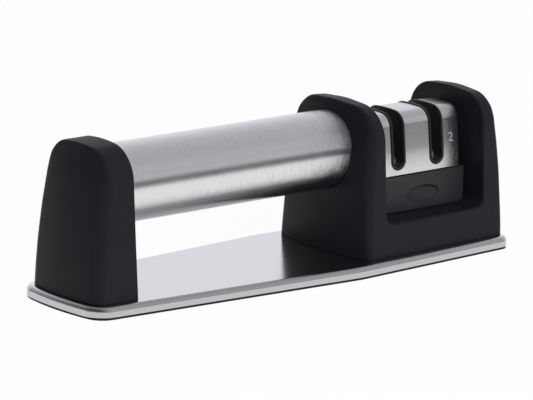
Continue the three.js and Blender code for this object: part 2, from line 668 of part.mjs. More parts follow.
function makeCartridgeBody() {
  const half = CARTRIDGE_LENGTH / 2;
  const depth = CARTRIDGE_BODY_HALF_DEPTH;
  const r = CARTRIDGE_CORNER_RADIUS;
  const plan = rectangle(cartridgeX - half, cartridgeX + half, -depth, depth, [r, r, r, r]);
  const n = NOTCH_CORNER_RADIUS;
  const front = rectangle(cartridgeX - half, cartridgeX + half, bodyBottomZ, CARTRIDGE_LEDGE_Z, [n, n, 0, 0]);
  const lower = prismZ(plan, bodyBottomZ, CARTRIDGE_LEDGE_Z).intersect(prismY(front, -2 * depth, 2 * depth));
  const coreHalf = CAP_LENGTH / 2 - SEAT_GAP;
  const core = prismX(
    capOutline(CAP_SHEET + SEAT_GAP, CARTRIDGE_LEDGE_Z - SEAT_GAP),
    cartridgeX - coreHalf,
    cartridgeX + coreHalf,
  );
  const slots = Object.values(slotXs).flatMap((x) => [
    slotCut(x, linerHalfWidth + SEAT_GAP, SLOT_BOTTOM_Z - LINER_WALL - SEAT_GAP),
    chamberCut(x, bodyBottomZ - CUT_MARGIN),
    saddleCut(x),
  ]);
  const pilots = shankHoles(floorScrews, FLOOR_SCREW_RADIUS, 0, floorScrewTipZ + SEAT_GAP);
  return cutAll(lower.add(core), [...slots, ...pilots, scoopCut(-1), scoopCut(1)]);
}

// The plate that closes the cartridge from below; its keepers hold the axles up in their saddles.
function makeFloorPlate() {
  const top = bodyBottomZ - SEAT_GAP;
  const plate = prismZ(pocketOutline(0), floorPlateBottomZ, top);
  const keeperTop = axleZ - AXLE_RADIUS - RUNNING_GAP;
  const keeperHalf = AXLE_RADIUS - SEAT_GAP;
  const keepers = Object.values(slotXs).flatMap((x) =>
    [-1, 1].map((side) => {
      const near = x + side * (chamberHalfLength + SEAT_GAP);
      const far = near + side * KEEPER_THICKNESS;
      const [x0, x1] = [Math.min(near, far), Math.max(near, far)];
      return box(x0, x1, -keeperHalf, keeperHalf, top - SEAT_GAP, keeperTop);
    }),
  );
  const recesses = floorScrews.map(([, x, y]) =>
    cylinderZ(FLOOR_SCREW_HEAD_RADIUS + SLIP_GAP, x, y, 0, floorScrewSeatZ, ROUND_SEGMENTS / 2),
  );
  const holes = shankHoles(floorScrews, FLOOR_SCREW_RADIUS, 0, top + CUT_MARGIN);
  return cutAll(unite([plate, ...keepers]), [...recesses, ...holes]);
}

function makeCap() {
  const foot = CARTRIDGE_LEDGE_Z + SHADOW_GAP;
  const x0 = cartridgeX - CAP_LENGTH / 2;
  const x1 = cartridgeX + CAP_LENGTH / 2;
  const sheet = prismX(capOutline(0, foot), x0, x1).subtract(
    prismX(capOutline(CAP_SHEET, foot - CUT_MARGIN), x0 - CUT_MARGIN, x1 + CUT_MARGIN),
  );
  const slots = Object.values(slotXs).map((x) =>
    slotCut(x, linerHalfWidth + SEAT_GAP, SLOT_BOTTOM_Z - LINER_WALL - SEAT_GAP),
  );
  return cutAll(sheet, slots);
}

function makeLiner(x) {
  const channel = slotCut(x, linerHalfWidth, SLOT_BOTTOM_Z - LINER_WALL).subtract(
    slotCut(x, SLOT_WIDTH / 2, SLOT_BOTTOM_Z),
  );
  const shape = prismX(capOutline(-LINER_PROUD, CARTRIDGE_LEDGE_Z), x - CAP_LENGTH, x + CAP_LENGTH);
  return channel.intersect(shape).subtract(chamberCut(x, 0));
}

// Wheel sets, turned about the X axis
function turnedX(profile, x, side) {
  const geometry = new THREE.LatheGeometry([...profile, profile[0]], ROUND_SEGMENTS);
  geometry.rotateZ(-Math.PI / 2);
  if (side < 0) geometry.rotateZ(Math.PI);
  return solidFrom(geometry.translate(x, 0, axleZ));
}

function makeAxle(x) {
  return cylinderX(AXLE_RADIUS, x - AXLE_LENGTH / 2, x + AXLE_LENGTH / 2, axleZ);
}

function makeWheel(x, side) {
  const bore = AXLE_RADIUS + SEAT_GAP;
  const bevel = (WHEEL_RADIUS - WHEEL_ROOT_RADIUS) * Math.tan(THREE.MathUtils.degToRad(WHEEL_BEVEL_DEG));
  const near = SEAT_GAP / 2;
  const far = near + WHEEL_THICKNESS;
  const profile = [
    point(bore, near),
    point(WHEEL_ROOT_RADIUS, near),
    point(WHEEL_RADIUS, near + bevel),
    point(WHEEL_RADIUS, far - WHEEL_EDGE_BREAK),
    point(WHEEL_RADIUS - WHEEL_EDGE_BREAK, far),
    point(bore, far),
  ];
  return turnedX(profile, x, side);
}

function makeSpacer(x, side) {
  const bore = AXLE_RADIUS + SEAT_GAP;
  const near = SEAT_GAP * 1.5 + WHEEL_THICKNESS;
  const far = near + SPACER_THICKNESS;
  const rim = SPACER_RADIUS;
  const profile = [point(bore, near), point(rim, near), point(rim, far), point(bore, far)];
  return turnedX(profile, x, side);
}

// The assembly
const sharpener = new THREE.Group();

function addPiece(parent, name, solid, material) {
  const mesh = new THREE.Mesh(geometryFrom(solid), material);
  mesh.name = name;
  parent.add(mesh);
  return mesh;
}

const base = new THREE.Group();
addPiece(base, "base_pad", makeBasePad(), rubber);
addPiece(base, "base_tray", makeBaseTray(), innerPlastic);
addPiece(base, "base_cover", makeBaseCover(), brushedSteel);
addPiece(base, "left_post", makeLeftPost(), softTouchBlack);
addPiece(base, "handle_tube", makeTube(), brushedSteel);
addPiece(base, "cartridge_housing", makeHousing(), softTouchBlack);
for (const [name, x, y] of screwPlaces) {
  const screw = panScrew(
    BASE_SCREW_RADIUS,
    BASE_SCREW_HEAD_RADIUS,
    BASE_SCREW_HEAD_HEIGHT,
    screwSeatZ,
    screwTipZ,
  );
  addPiece(base, name, screw, screwSteel).position.set(x, y, 0);
}
sharpener.add(base);

const cartridge = new THREE.Group();
addPiece(cartridge, "cartridge_body", makeCartridgeBody(), cartridgeBlack);
addPiece(cartridge, "cartridge_floor", makeFloorPlate(), innerPlastic);
addPiece(cartridge, "cartridge_cap", makeCap(), brushedSteel);
for (const [name, x, y] of floorScrews) {
  const screw = panScrew(
    FLOOR_SCREW_RADIUS,
    FLOOR_SCREW_HEAD_RADIUS,
    FLOOR_SCREW_HEAD_HEIGHT,
    floorScrewSeatZ,
    floorScrewTipZ,
  );
  addPiece(cartridge, name, screw, screwSteel).position.set(x, y, 0);
}
for (const [stage, x] of Object.entries(slotXs)) {
  const abrasive = stage === "coarse" ? diamondSteel : ceramicDark;
  addPiece(cartridge, `${stage}_slot_liner`, makeLiner(x), linerBlack);
  addPiece(cartridge, `${stage}_axle`, makeAxle(x), screwSteel);
  for (const [end, side] of [["left", -1], ["right", 1]]) {
    addPiece(cartridge, `${stage}_wheel_${end}`, makeWheel(x, side), abrasive);
    addPiece(cartridge, `${stage}_spacer_${end}`, makeSpacer(x, side), nylon);
  }
}
sharpener.add(cartridge);

export default sharpener;
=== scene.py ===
# %% [markdown]
# A pull-through knife sharpener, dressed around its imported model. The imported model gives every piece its
# place and its motion, and this lesson gives the pieces that show their smooth shapes and finishes. Each
# cell makes one thing, says what it is on the real object, and prints what it made.

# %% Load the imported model
import json
import math

import bmesh
import bpy
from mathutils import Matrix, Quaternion, Vector


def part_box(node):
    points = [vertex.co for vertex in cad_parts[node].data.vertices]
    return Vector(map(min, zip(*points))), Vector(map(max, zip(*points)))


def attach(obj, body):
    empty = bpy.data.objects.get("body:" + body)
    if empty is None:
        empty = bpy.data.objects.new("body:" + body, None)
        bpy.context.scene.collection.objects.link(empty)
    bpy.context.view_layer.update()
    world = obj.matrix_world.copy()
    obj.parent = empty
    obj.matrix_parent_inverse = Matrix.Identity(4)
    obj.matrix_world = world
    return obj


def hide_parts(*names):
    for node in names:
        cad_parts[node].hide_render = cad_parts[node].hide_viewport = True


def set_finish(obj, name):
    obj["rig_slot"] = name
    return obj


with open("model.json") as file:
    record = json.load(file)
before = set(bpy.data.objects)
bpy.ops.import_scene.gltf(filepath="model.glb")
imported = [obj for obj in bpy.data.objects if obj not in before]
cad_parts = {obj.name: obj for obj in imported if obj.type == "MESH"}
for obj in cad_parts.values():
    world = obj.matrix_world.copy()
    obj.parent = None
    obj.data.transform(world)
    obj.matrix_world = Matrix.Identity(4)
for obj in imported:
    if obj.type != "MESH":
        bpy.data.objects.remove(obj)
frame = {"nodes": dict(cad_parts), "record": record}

scene = bpy.context.scene
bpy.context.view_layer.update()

# %% [markdown]
# The camera stands where the photographer stood: round to the left of the front, a little above the
# handle, with a long lens that keeps the sides nearly parallel. It is set by two angles, a small roll and
# a place, so that it can be compared with the picture from the first piece on.

# %% Camera
CAMERA_AZIMUTH = math.radians(-39.63)
CAMERA_ELEVATION = math.radians(13.54)
CAMERA_ROLL = math.radians(1.2)
CAMERA_PLACE = (-1.0174, -1.22621, 0.41091)
CAMERA_LENS = 293.4
CAMERA_SENSOR = 36.0
CAMERA_SIGHT = 20

flat_reach = math.cos(CAMERA_ELEVATION)
camera_back = Vector(
    (
        math.sin(CAMERA_AZIMUTH) * flat_reach,
        -math.cos(CAMERA_AZIMUTH) * flat_reach,
        math.sin(CAMERA_ELEVATION),
    )
)
bpy.ops.object.camera_add(location=CAMERA_PLACE)
camera = bpy.context.object
camera.rotation_mode = "QUATERNION"
level_view = (-camera_back).to_track_quat("-Z", "Y")
camera.rotation_quaternion = level_view @ Quaternion((0, 0, 1), CAMERA_ROLL)
camera.data.sensor_width = CAMERA_SENSOR
camera.data.lens = CAMERA_LENS
camera.data.clip_end = CAMERA_SIGHT
scene.camera = camera
print("camera distance:", round(Vector(CAMERA_PLACE).length, 3), "m")

# %% [markdown]
# The pieces are drawn in millimetres, as a workshop drawing is, and shrunk to metres when they are done.
# A few small helpers stand for what the hand does in edit mode: pick some edges, round them off, push
# them, pull them out or cut lines through them. Picking is always by place or direction, so nothing
# depends on the order of the vertices.

# %% Helpers for picking
MM = 0.001
TINY = 1e-3
ALONG = 0.98
FACING = 0.9
SHARP = 1.0
AXES = {"X": Vector((1, 0, 0)), "Y": Vector((0, 1, 0)), "Z": Vector((0, 0, 1))}
KINDS = {"VERT": "verts", "EDGE": "edges", "FACE": "faces"}


def anything(part):
    return True


def middle(part):
    """The middle of a vertex, an edge or a face."""
    if isinstance(part, bmesh.types.BMVert):
        return part.co
    return sum((corner.co for corner in part.verts), Vector()) / len(part.verts)


def at_x(part, x):
    return abs(middle(part).x - x) < TINY


def runs(edge, axis):
    """True if an edge runs along X, Y or Z, or leans a little from it."""
    line = edge.verts[1].co - edge.verts[0].co
    return abs(line.normalized().dot(AXES[axis])) > ALONG


def is_sharp(edge, angle=SHARP):
    """True if the faces at an edge turn by more than an angle, in radians."""
    return edge.calc_face_angle(0) > angle


def faces_towards(face, direction):
    return face.normal.dot(Vector(direction)) > FACING


def faces_sideways(face):
    """True if a face looks to the left or to the right, along X."""
    return abs(face.normal.x) > FACING


def pick(kind, test):
    """Selects what passes the test in the piece that is in edit mode, and nothing else."""
    data = bpy.context.object.data
    bpy.ops.mesh.select_mode(type=kind)
    bpy.ops.mesh.select_all(action="DESELECT")
    mesh = bmesh.from_edit_mesh(data)
    chosen = [part for part in getattr(mesh, KINDS[kind]) if test(part)]
    for part in chosen:
        part.select_set(True)
    mesh.select_flush_mode()
    bmesh.update_edit_mesh(data)
    return len(chosen)


print("kinds to pick:", sorted(KINDS))

# %% Helpers for shaping
ROUND_PROFILE = 0.5


def push(test, shift):
    pick("VERT", test)
    bpy.ops.transform.translate(value=shift)


def widen(test, factor):
    """Scales what is picked across the object, in Y."""
    pick("VERT", test)
    bpy.ops.transform.resize(value=(1, factor, 1), center_override=(0, 0, 0))


def pull_out(shift):
    """Extrudes what is picked."""
    bpy.ops.mesh.extrude_region_move(TRANSFORM_OT_translate={"value": shift})


def round_off(test, reach, segments, kind="EDGE"):
    """Rounds the picked edges, or corners of a flat face, with an arc that starts at reach."""
    count = pick(kind, test)
    bpy.ops.mesh.bevel(
        affect="EDGES" if kind == "EDGE" else "VERTICES",
        offset=reach,
        segments=segments,
        profile=ROUND_PROFILE,
        clamp_overlap=False,
    )
    return count


def slice_at(axis, places, test=anything):
    """Cuts new lines through the picked faces at places along an axis."""
    for place in places:
        pick("FACE", test)
        bpy.ops.mesh.bisect(plane_co=AXES[axis] * place, plane_no=AXES[axis], threshold=TINY)


def merge_close():
    pick("VERT", anything)
    bpy.ops.mesh.remove_doubles(threshold=TINY)
    bpy.ops.mesh.normals_make_consistent(inside=False)


print("hand tools ready; points within", TINY, "mm count as one")

# %% [markdown]
# A piece starts as a block or a rod at its size and place. An operator acts on all that is selected, so
# the bench is cleared first. One piece can cut another, which a Boolean does in one step where a hand
# would model the hole face by face. A finished piece is cleaned of slivers, brought to metres, shaded
# smooth up to its sharp edges, and tied to its body, its nodes and its finish.

# %% Helpers for starting a piece
def edit():
    bpy.ops.object.mode_set(mode="EDIT")


def leave_edit():
    if bpy.context.object and bpy.context.object.mode == "EDIT":
        bpy.ops.object.mode_set(mode="OBJECT")


def clear_bench():
    """Leaves edit mode and deselects everything."""
    leave_edit()
    bpy.ops.object.select_all(action="DESELECT")


def only(piece):
    """Makes a piece the active and the only selected one, in object mode."""
    clear_bench()
    piece.select_set(True)
    bpy.context.view_layer.objects.active = piece


def apply_place():
    """Puts the place, turn and size of the selected piece into its mesh."""
    bpy.ops.object.transform_apply(location=True, rotation=True, scale=True)


def take_new(name, place, scale):
    """Names the primitive that was just added, gives it its place and size, and goes to edit mode."""
    piece = bpy.context.object
    piece.name = name
    piece.data.name = name
    piece.location = place
    piece.scale = scale
    apply_place()
    edit()
    return piece


def block(name, low, high):
    """A box between two corners."""
    clear_bench()
    bpy.ops.mesh.primitive_cube_add(size=1)
    low, high = Vector(low), Vector(high)
    return take_new(name, (low + high) / 2, high - low)


def rod(name, radius, start, end, z, sides):
    """A cylinder along X, at a height."""
    clear_bench()
    bpy.ops.mesh.primitive_cylinder_add(
        vertices=sides, radius=radius, depth=end - start, rotation=(0, math.radians(90), 0)
    )
    return take_new(name, ((start + end) / 2, 0, z), (1, 1, 1))


pieces = {}
print("bench cleared, pieces so far:", len(pieces))

# %% Helpers for cutting, copying and finishing a piece
SLIVER = 0.008
SMOOTH_ANGLE = math.radians(32)


def apply_modifier(piece, kind, **settings):
    only(piece)
    modifier = piece.modifiers.new("step", kind)
    for key, value in settings.items():
        setattr(modifier, key, value)
    bpy.ops.object.modifier_apply(modifier=modifier.name)


def combine(piece, tool, operation="DIFFERENCE"):
    """Cuts a piece with a tool, joins them or keeps what they share, and throws the tool away."""
    apply_modifier(piece, "BOOLEAN", object=tool, operation=operation, solver="MANIFOLD")
    bpy.data.objects.remove(tool)


def copy_of(piece, name, shift):
    only(piece)
    bpy.ops.object.duplicate(linked=False)
    made = bpy.context.object
    made.name = name
    made.data.name = name
    made.location = Vector(shift)
    apply_place()
    return made


def clear_slivers():
    """Merges what is too close to see, and takes out points that no corner needs."""
    pick("VERT", anything)
    bpy.ops.mesh.remove_doubles(threshold=SLIVER)
    bpy.ops.mesh.dissolve_degenerate(threshold=SLIVER)
    if pick("VERT", lambda vert: len(vert.link_edges) == 2):
        bpy.ops.mesh.dissolve_verts()


def finish(piece, body, nodes, slot):
    """Brings a piece to metres, shades it, and ties it to its body, its nodes and its finish."""
    only(piece)
    edit()
    clear_slivers()
    leave_edit()
    piece.scale = (MM, MM, MM)
    apply_place()
    bpy.ops.object.shade_smooth_by_angle(angle=SMOOTH_ANGLE)
    apply_modifier(piece, "WEIGHTED_NORMAL", keep_sharp=True)
    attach(piece, body)
    if nodes:
        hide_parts(*nodes)
    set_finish(piece, slot)
    pieces[piece.name] = piece
    size = [round(side / MM, 1) for side in piece.dimensions]
    print(piece.name, "mm:", size, "faces:", len(piece.data.polygons))


print("slivers under", SLIVER, "mm are cleared from every piece")

# %% [markdown]
# Several faces of the sharpener bow gently. A lattice is a cage of a few points that bends a whole mesh
# with it. Proportional editing could bow a face by hand, but a cage takes its shape from a rule, so the
# front and the back of a piece bend alike.

# %% Lattice helper
ALONG_CAGE = "KEY_LINEAR"
ACROSS_CAGE = "KEY_CARDINAL"


def lattice_bend(piece, low, high, counts, shift):
    """Puts a lattice round a piece, moves each of its points as shift says, and applies it."""
    only(piece)
    low, high = Vector(low), Vector(high)
    bpy.ops.object.add(type="LATTICE")
    cage = bpy.context.object
    cage.location = (low + high) / 2
    cage.scale = high - low
    cage.data.points_u, cage.data.points_v, cage.data.points_w = counts
    cage.data.interpolation_type_u = ALONG_CAGE
    cage.data.interpolation_type_v = ACROSS_CAGE
    cage.data.interpolation_type_w = ACROSS_CAGE
    bpy.context.view_layer.update()
    for dot in cage.data.points:
        place = cage.matrix_world @ dot.co
        moved = place + Vector(shift(place))
        dot.co_deform = cage.matrix_world.inverted() @ moved
    apply_modifier(piece, "LATTICE", object=cage)
    bpy.data.objects.remove(cage)
    print(piece.name, "bent by a cage of", counts, "points")


print("cages are straight along X and smooth across it")

# %% [markdown]
# The base is one pressed sheet of steel: a long plate with a short rim all round and a soft upper edge.
# Seen from above it is widest in front of the housing and its ends bow out a little. A block is narrowed
# at its ends, its corners are rounded while they are still single edges, which keeps their radii exact, a
# lattice bows the ends, and the underside is hollowed to the thickness of the sheet.

# %% Steel base
BASE_END = 101.2
BASE_HALF_LEFT = 23.9
BASE_HALF_BEND = 32.2
BASE_HALF_RIGHT = 27.4
BASE_BEND_X = 19.5
BASE_BOW = 2.6
BASE_CORNER_LEFT = 7.5
BASE_CORNER_RIGHT = 4.4
BASE_CORNER_STEPS = 12
BASE_BEND_REACH = 2.55
BASE_BEND_STEPS = 6
RIM_Z = 1.0
PLATE_Z = 4.9
EDGE_RADIUS = 2.0
EDGE_STEPS = 6
SHEET = 0.7
END_CUTS = 14
BASE_CAGE = (8, 11, 2)


def bow_base(place):
    bow = BASE_BOW * (place.y / BASE_HALF_RIGHT) ** 2
    if abs(place.x) < BASE_END / 2:
        return (0, 0, 0)
    return (-math.copysign(bow, place.x), 0, 0)


def stands_at(x):
    """A test for the upright edges at a place along the base."""
    return lambda edge: runs(edge, "Z") and at_x(edge, x)


base_low = (-BASE_END, -BASE_HALF_LEFT, RIM_Z)
base_high = (BASE_END, BASE_HALF_LEFT, PLATE_Z)
steel_base = block("steel_base", base_low, base_high)
slice_at("X", [BASE_BEND_X])
widen(lambda vert: at_x(vert, BASE_BEND_X), BASE_HALF_BEND / BASE_HALF_LEFT)
widen(lambda vert: at_x(vert, BASE_END), BASE_HALF_RIGHT / BASE_HALF_LEFT)
pick("EDGE", lambda edge: runs(edge, "Y") and at_x(edge, BASE_BEND_X))
bpy.ops.mesh.dissolve_edges(use_verts=False)
round_off(stands_at(-BASE_END), BASE_CORNER_LEFT, BASE_CORNER_STEPS)
round_off(stands_at(BASE_END), BASE_CORNER_RIGHT, BASE_CORNER_STEPS)
round_off(stands_at(BASE_BEND_X), BASE_BEND_REACH, BASE_BEND_STEPS)
pick("EDGE", lambda edge: runs(edge, "Y") and abs(middle(edge).x) > BASE_END - TINY)
bpy.ops.mesh.subdivide(number_cuts=END_CUTS)
leave_edit()
cage_low = (-BASE_END, -BASE_HALF_BEND, RIM_Z)
cage_high = (BASE_END, BASE_HALF_BEND, PLATE_Z)
lattice_bend(steel_base, cage_low, cage_high, BASE_CAGE, bow_base)
only(steel_base)
edit()
round_off(lambda edge: middle(edge).z > PLATE_Z - TINY and is_sharp(edge), EDGE_RADIUS, EDGE_STEPS)
pick("FACE", lambda face: faces_towards(face, (0, 0, -1)))
bpy.ops.mesh.inset(thickness=SHEET, use_even_offset=True)
pull_out((0, 0, PLATE_Z - SHEET - RIM_Z))
leave_edit()
finish(steel_base, "base", ["base_cover"], "base_steel")

# %% [markdown]
# The post and the housing are moulded shells with the same kind of front view: an arch with leaning sides,
# round shoulders and a low crown. The arch is drawn as one flat face whose corners are rounded, because a
# flat corner takes an exact radius, and the face is then pulled out into a solid.

# %% Arch faces
SHOULDER_STEPS = 14
CROWN_STEPS = 8
BELLY_SHARE = 0.22
BELLY_REACH = 5.0


def corner_reach(before, corner, after, radius):
    """How far from a corner an arc of this radius touches the two lines that meet there."""
    first = (Vector(before) - Vector(corner)).normalized()
    second = (Vector(after) - Vector(corner)).normalized()
    return radius / math.tan(first.angle(second) / 2)


def arch_face(name, x, foot, shoulder, bottom, top, rise, shoulder_radius, crown_radius, belly=0.0):
    """One face in the plane at x, facing +X. A belly bows its sides out a little."""
    clear_bench()
    bpy.ops.mesh.primitive_plane_add(size=2, rotation=(0, math.radians(90), 0))
    shoulder_z = top - rise
    half_height = (shoulder_z - bottom) / 2
    centre_z = bottom + half_height
    piece = take_new(name, (x, 0, centre_z), (half_height, foot, 1))
    widen(lambda vert: vert.co.z > centre_z, shoulder / foot)
    below_shoulder = (foot, bottom)
    if belly:
        waist = foot + (shoulder - foot) * BELLY_SHARE + belly
        waist_z = bottom + (shoulder_z - bottom) * BELLY_SHARE
        for side in (-1, 1):
            pick("EDGE", lambda edge: runs(edge, "Z") and side * middle(edge).y > TINY)
            bpy.ops.mesh.subdivide(number_cuts=1)
        is_new = lambda vert: abs(vert.co.z - centre_z) < TINY
        widen(is_new, waist / ((foot + shoulder) / 2))
        push(is_new, (0, 0, waist_z - centre_z))
        below_shoulder = (waist, waist_z)
    pick("EDGE", lambda edge: middle(edge).z > shoulder_z - TINY)
    bpy.ops.mesh.subdivide(number_cuts=1)
    push(lambda vert: abs(vert.co.y) < TINY, (0, 0, rise))
    at_shoulder, at_crown = (shoulder, shoulder_z), (0, top)
    shoulder_reach = corner_reach(below_shoulder, at_shoulder, at_crown, shoulder_radius)
    crown_reach = corner_reach(at_shoulder, at_crown, (-shoulder, shoulder_z), crown_radius)
    is_shoulder = lambda vert: vert.co.z > centre_z + TINY and abs(vert.co.y) > TINY
    round_off(is_shoulder, shoulder_reach, SHOULDER_STEPS, "VERT")
    round_off(lambda vert: vert.co.z > top - TINY, crown_reach, CROWN_STEPS, "VERT")
    if belly:
        round_off(lambda vert: abs(vert.co.z - waist_z) < TINY, BELLY_REACH, CROWN_STEPS, "VERT")
    leave_edit()
    return piece


print("steps to a shoulder:", SHOULDER_STEPS, "and over the crown:", CROWN_STEPS)

# %% [markdown]
# The corners of these shells are soft up the sides and fade to a crisp edge over the crown. A bevel whose
# width is weighted along the rim makes such a corner in one step. The outer faces also bow out in plan and
# sweep inwards towards the top, which a lattice does after rows and columns of points are cut into them.

# %% Rules for fading rims and sweeping faces
FOOT_Z = 5.0
CROWN_RISE = 1.6
CROWN_RADIUS = 50
CRISP = 0.8
FADE_LENGTH = 13.0
RIM_STEPS = 6
ROW_STEP = 4.0
FACE_SKIN = 0.2
END_CAGE = (3, 11, 11)


def fading(z, top, soft):
    """The width of a rim's rounding: soft up the sides, crisp over the crown."""
    share = min(max((top - CROWN_RISE - z) / FADE_LENGTH, 0), 1)
    return CRISP + (soft - CRISP) * share * share * (3 - 2 * share)


def bevel_rims(piece, weight, width):
    """Rounds the rims of the piece in edit mode; weight gives each edge its share of the width."""
    mesh = bmesh.from_edit_mesh(piece.data)
    layer = mesh.edges.layers.float.new("bevel_weight_edge")
    for edge in mesh.edges:
        edge[layer] = weight(edge)
    bmesh.update_edit_mesh(piece.data)
    rounding = {"width": width, "segments": RIM_STEPS, "use_clamp_overlap": False}
    apply_modifier(piece, "BEVEL", limit_method="WEIGHT", **rounding)
    edit()


def rows(low, high):
    """Heights between two others, evenly spread and about a step apart."""
    count = round((high - low) / ROW_STEP)
    return [low + (high - low) * step / count for step in range(1, count)]


def columns(half):
    count = int(half / ROW_STEP)
    return [ROW_STEP * step for step in range(-count, count + 1)]


def sweep(total, z, top, power=2):
    """How far a face has swept inwards at a height."""
    share = max(z - FOOT_Z, 0) / (top - FOOT_Z)
    return total * share**power


def half_at(z, foot, shoulder, top):
    """Half the width of an arch at a height on its leaning side."""
    return foot - (foot - shoulder) * (z - FOOT_Z) / (top - CROWN_RISE - FOOT_Z)


print("rims fade over", FADE_LENGTH, "mm")

# %% [markdown]
# The left post carries one end of the handle. Its outer face bows out and curves inwards towards the top,
# and its inner face leans a little. An arch face is pulled out to a solid, its rims are rounded, rows of
# points are cut into its outer face, and a lattice bends it.

# %% Left post
POST_OUTER = -98.6
POST_INNER = -78.3
POST_SWEEP = 6.8
POST_LEAN = 0.03
POST_HALF = 21.0
POST_SHOULDER = 18.3
POST_TOP = 61.6
POST_BOW = 2.2
POST_CORNER = 4.5
POST_INNER_EDGE = 1.2
POST_SHOULDER_RADIUS = 12.8


def bend_post(place):
    if place.x > POST_INNER - TINY:
        return (-POST_LEAN * (place.z - FOOT_Z), 0, 0)
    half = half_at(place.z, POST_HALF, POST_SHOULDER, POST_TOP)
    return (sweep(POST_SWEEP, place.z, POST_TOP) + POST_BOW * (place.y / half) ** 2, 0, 0)


def post_rim(edge):
    at = middle(edge)
    if at.z < FOOT_Z + TINY or runs(edge, "X"):
        return 0
    if at.x < POST_OUTER + TINY:
        return fading(at.z, POST_TOP, POST_CORNER) / POST_CORNER
    return POST_INNER_EDGE / POST_CORNER if at.x > POST_INNER - TINY else 0


def is_post_face(face):
    return faces_towards(face, (-1, 0, 0)) and middle(face).x < POST_OUTER + FACE_SKIN


post_shell = arch_face(
    "post_shell",
    POST_INNER,
    POST_HALF,
    POST_SHOULDER,
    FOOT_Z,
    POST_TOP,
    CROWN_RISE,
    POST_SHOULDER_RADIUS,
    CROWN_RADIUS,
)
only(post_shell)
edit()
pick("FACE", anything)
pull_out((POST_OUTER - POST_INNER, 0, 0))
merge_close()
bevel_rims(post_shell, post_rim, POST_CORNER)
post_bend = POST_TOP - POST_SHOULDER_RADIUS
slice_at("Z", rows(FOOT_Z, post_bend) + [post_bend])
slice_at("Z", rows(post_bend, POST_TOP), is_post_face)
slice_at("Y", columns(POST_HALF - POST_CORNER), is_post_face)
leave_edit()
post_low = (POST_OUTER, -POST_HALF, FOOT_Z)
post_high = (POST_INNER, POST_HALF, POST_TOP)
lattice_bend(post_shell, post_low, post_high, END_CAGE, bend_post)

# %% [markdown]
# The handle is a thin steel tube that drops into a socket at each end. A cylinder with many sides is
# opened at its ends and its two inner rings are bridged, which gives it a wall of exact thickness, so that
# the bright ring shows if the pieces are ever taken apart. The post then gets its socket, cut a hair wider
# than the tube.

# %% Handle tube and the post's socket
TUBE_RADIUS = 15.0
TUBE_WALL = 0.8
TUBE_Z = 43.7
TUBE_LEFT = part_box("handle_tube")[0].x / MM
TUBE_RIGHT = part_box("handle_tube")[1].x / MM
TUBE_SIDES = 160
TUBE_LIP = 0.15
TUBE_LIP_STEPS = 2
SOCKET_GAP = 0.2
SOCKET_PLAY = 0.1
SOCKET_RADIUS = TUBE_RADIUS + SOCKET_GAP

grip_tube = rod("grip_tube", TUBE_RADIUS, TUBE_LEFT, TUBE_RIGHT, TUBE_Z, TUBE_SIDES)
pick("FACE", faces_sideways)
bpy.ops.mesh.inset(thickness=TUBE_WALL, use_even_offset=True)
pick("FACE", lambda face: faces_sideways(face) and len(face.verts) == TUBE_SIDES)
bpy.ops.mesh.delete(type="ONLY_FACE")
pick("EDGE", lambda edge: edge.is_boundary)
bpy.ops.mesh.bridge_edge_loops()
pick("VERT", anything)
bpy.ops.mesh.normals_make_consistent(inside=False)
round_off(is_sharp, TUBE_LIP, TUBE_LIP_STEPS)
leave_edit()
finish(grip_tube, "base", ["handle_tube"], "tube_steel")

post_socket = rod("post_socket", SOCKET_RADIUS, TUBE_LEFT - SOCKET_PLAY, 0, TUBE_Z, TUBE_SIDES)
leave_edit()
combine(post_shell, post_socket)
finish(post_shell, "base", ["left_post"], "soft_touch")

# %% [markdown]
# The housing is a longer shell of the same kind. It is narrower and lower at its right end, so two arch
# faces, one for each end, are bridged. Its ends get the same fading corners, bow and sweep as the post,
# and the notch for the cartridge is cut before the ends are bent, so that its walls stay upright.

# %% Housing shell
HOUSING_LEFT = 24.0
HOUSING_RIGHT = 99.7
LEFT_HALF = 27.2
RIGHT_HALF = 23.4
LEFT_SHOULDER = 23.2
RIGHT_SHOULDER = 21.0
LEFT_TOP = 63.1
RIGHT_TOP = 61.2
LEFT_CORNER = 3.2
RIGHT_CORNER = 3.0
LEFT_SHOULDER_RADIUS = 14
RIGHT_SHOULDER_RADIUS = 11.5
NOTCH_LEFT = 36.7
NOTCH_RIGHT = 87.8
NOTCH_FLOOR = 17.3
NOTCH_CORNER = 3.5


def housing_rim(edge):
    at = middle(edge)
    if at.z < FOOT_Z + TINY or runs(edge, "X"):
        return 0
    if at.x < HOUSING_LEFT + TINY:
        return fading(at.z, LEFT_TOP, LEFT_CORNER) / LEFT_CORNER
    if at.x > HOUSING_RIGHT - TINY:
        return fading(at.z, RIGHT_TOP, RIGHT_CORNER) / LEFT_CORNER
    return 0


def is_housing_end(face):
    at = middle(face).x
    outside = at < HOUSING_LEFT + FACE_SKIN or at > HOUSING_RIGHT - FACE_SKIN
    return faces_sideways(face) and outside


housing_shell = arch_face(
    "housing_shell",
    HOUSING_LEFT,
    LEFT_HALF,
    LEFT_SHOULDER,
    FOOT_Z,
    LEFT_TOP,
    CROWN_RISE,
    LEFT_SHOULDER_RADIUS,
    CROWN_RADIUS,
)
right_end = arch_face(
    "right_end",
    HOUSING_RIGHT,
    RIGHT_HALF,
    RIGHT_SHOULDER,
    FOOT_Z,
    RIGHT_TOP,
    CROWN_RISE,
    RIGHT_SHOULDER_RADIUS,
    CROWN_RADIUS,
)
only(housing_shell)
right_end.select_set(True)
bpy.ops.object.join()
edit()
pick("EDGE", lambda edge: edge.is_boundary)
bpy.ops.mesh.bridge_edge_loops()
pick("EDGE", lambda edge: edge.is_boundary)
bpy.ops.mesh.edge_face_add()
merge_close()
bevel_rims(housing_shell, housing_rim, LEFT_CORNER)
housing_bend = RIGHT_TOP - LEFT_SHOULDER_RADIUS
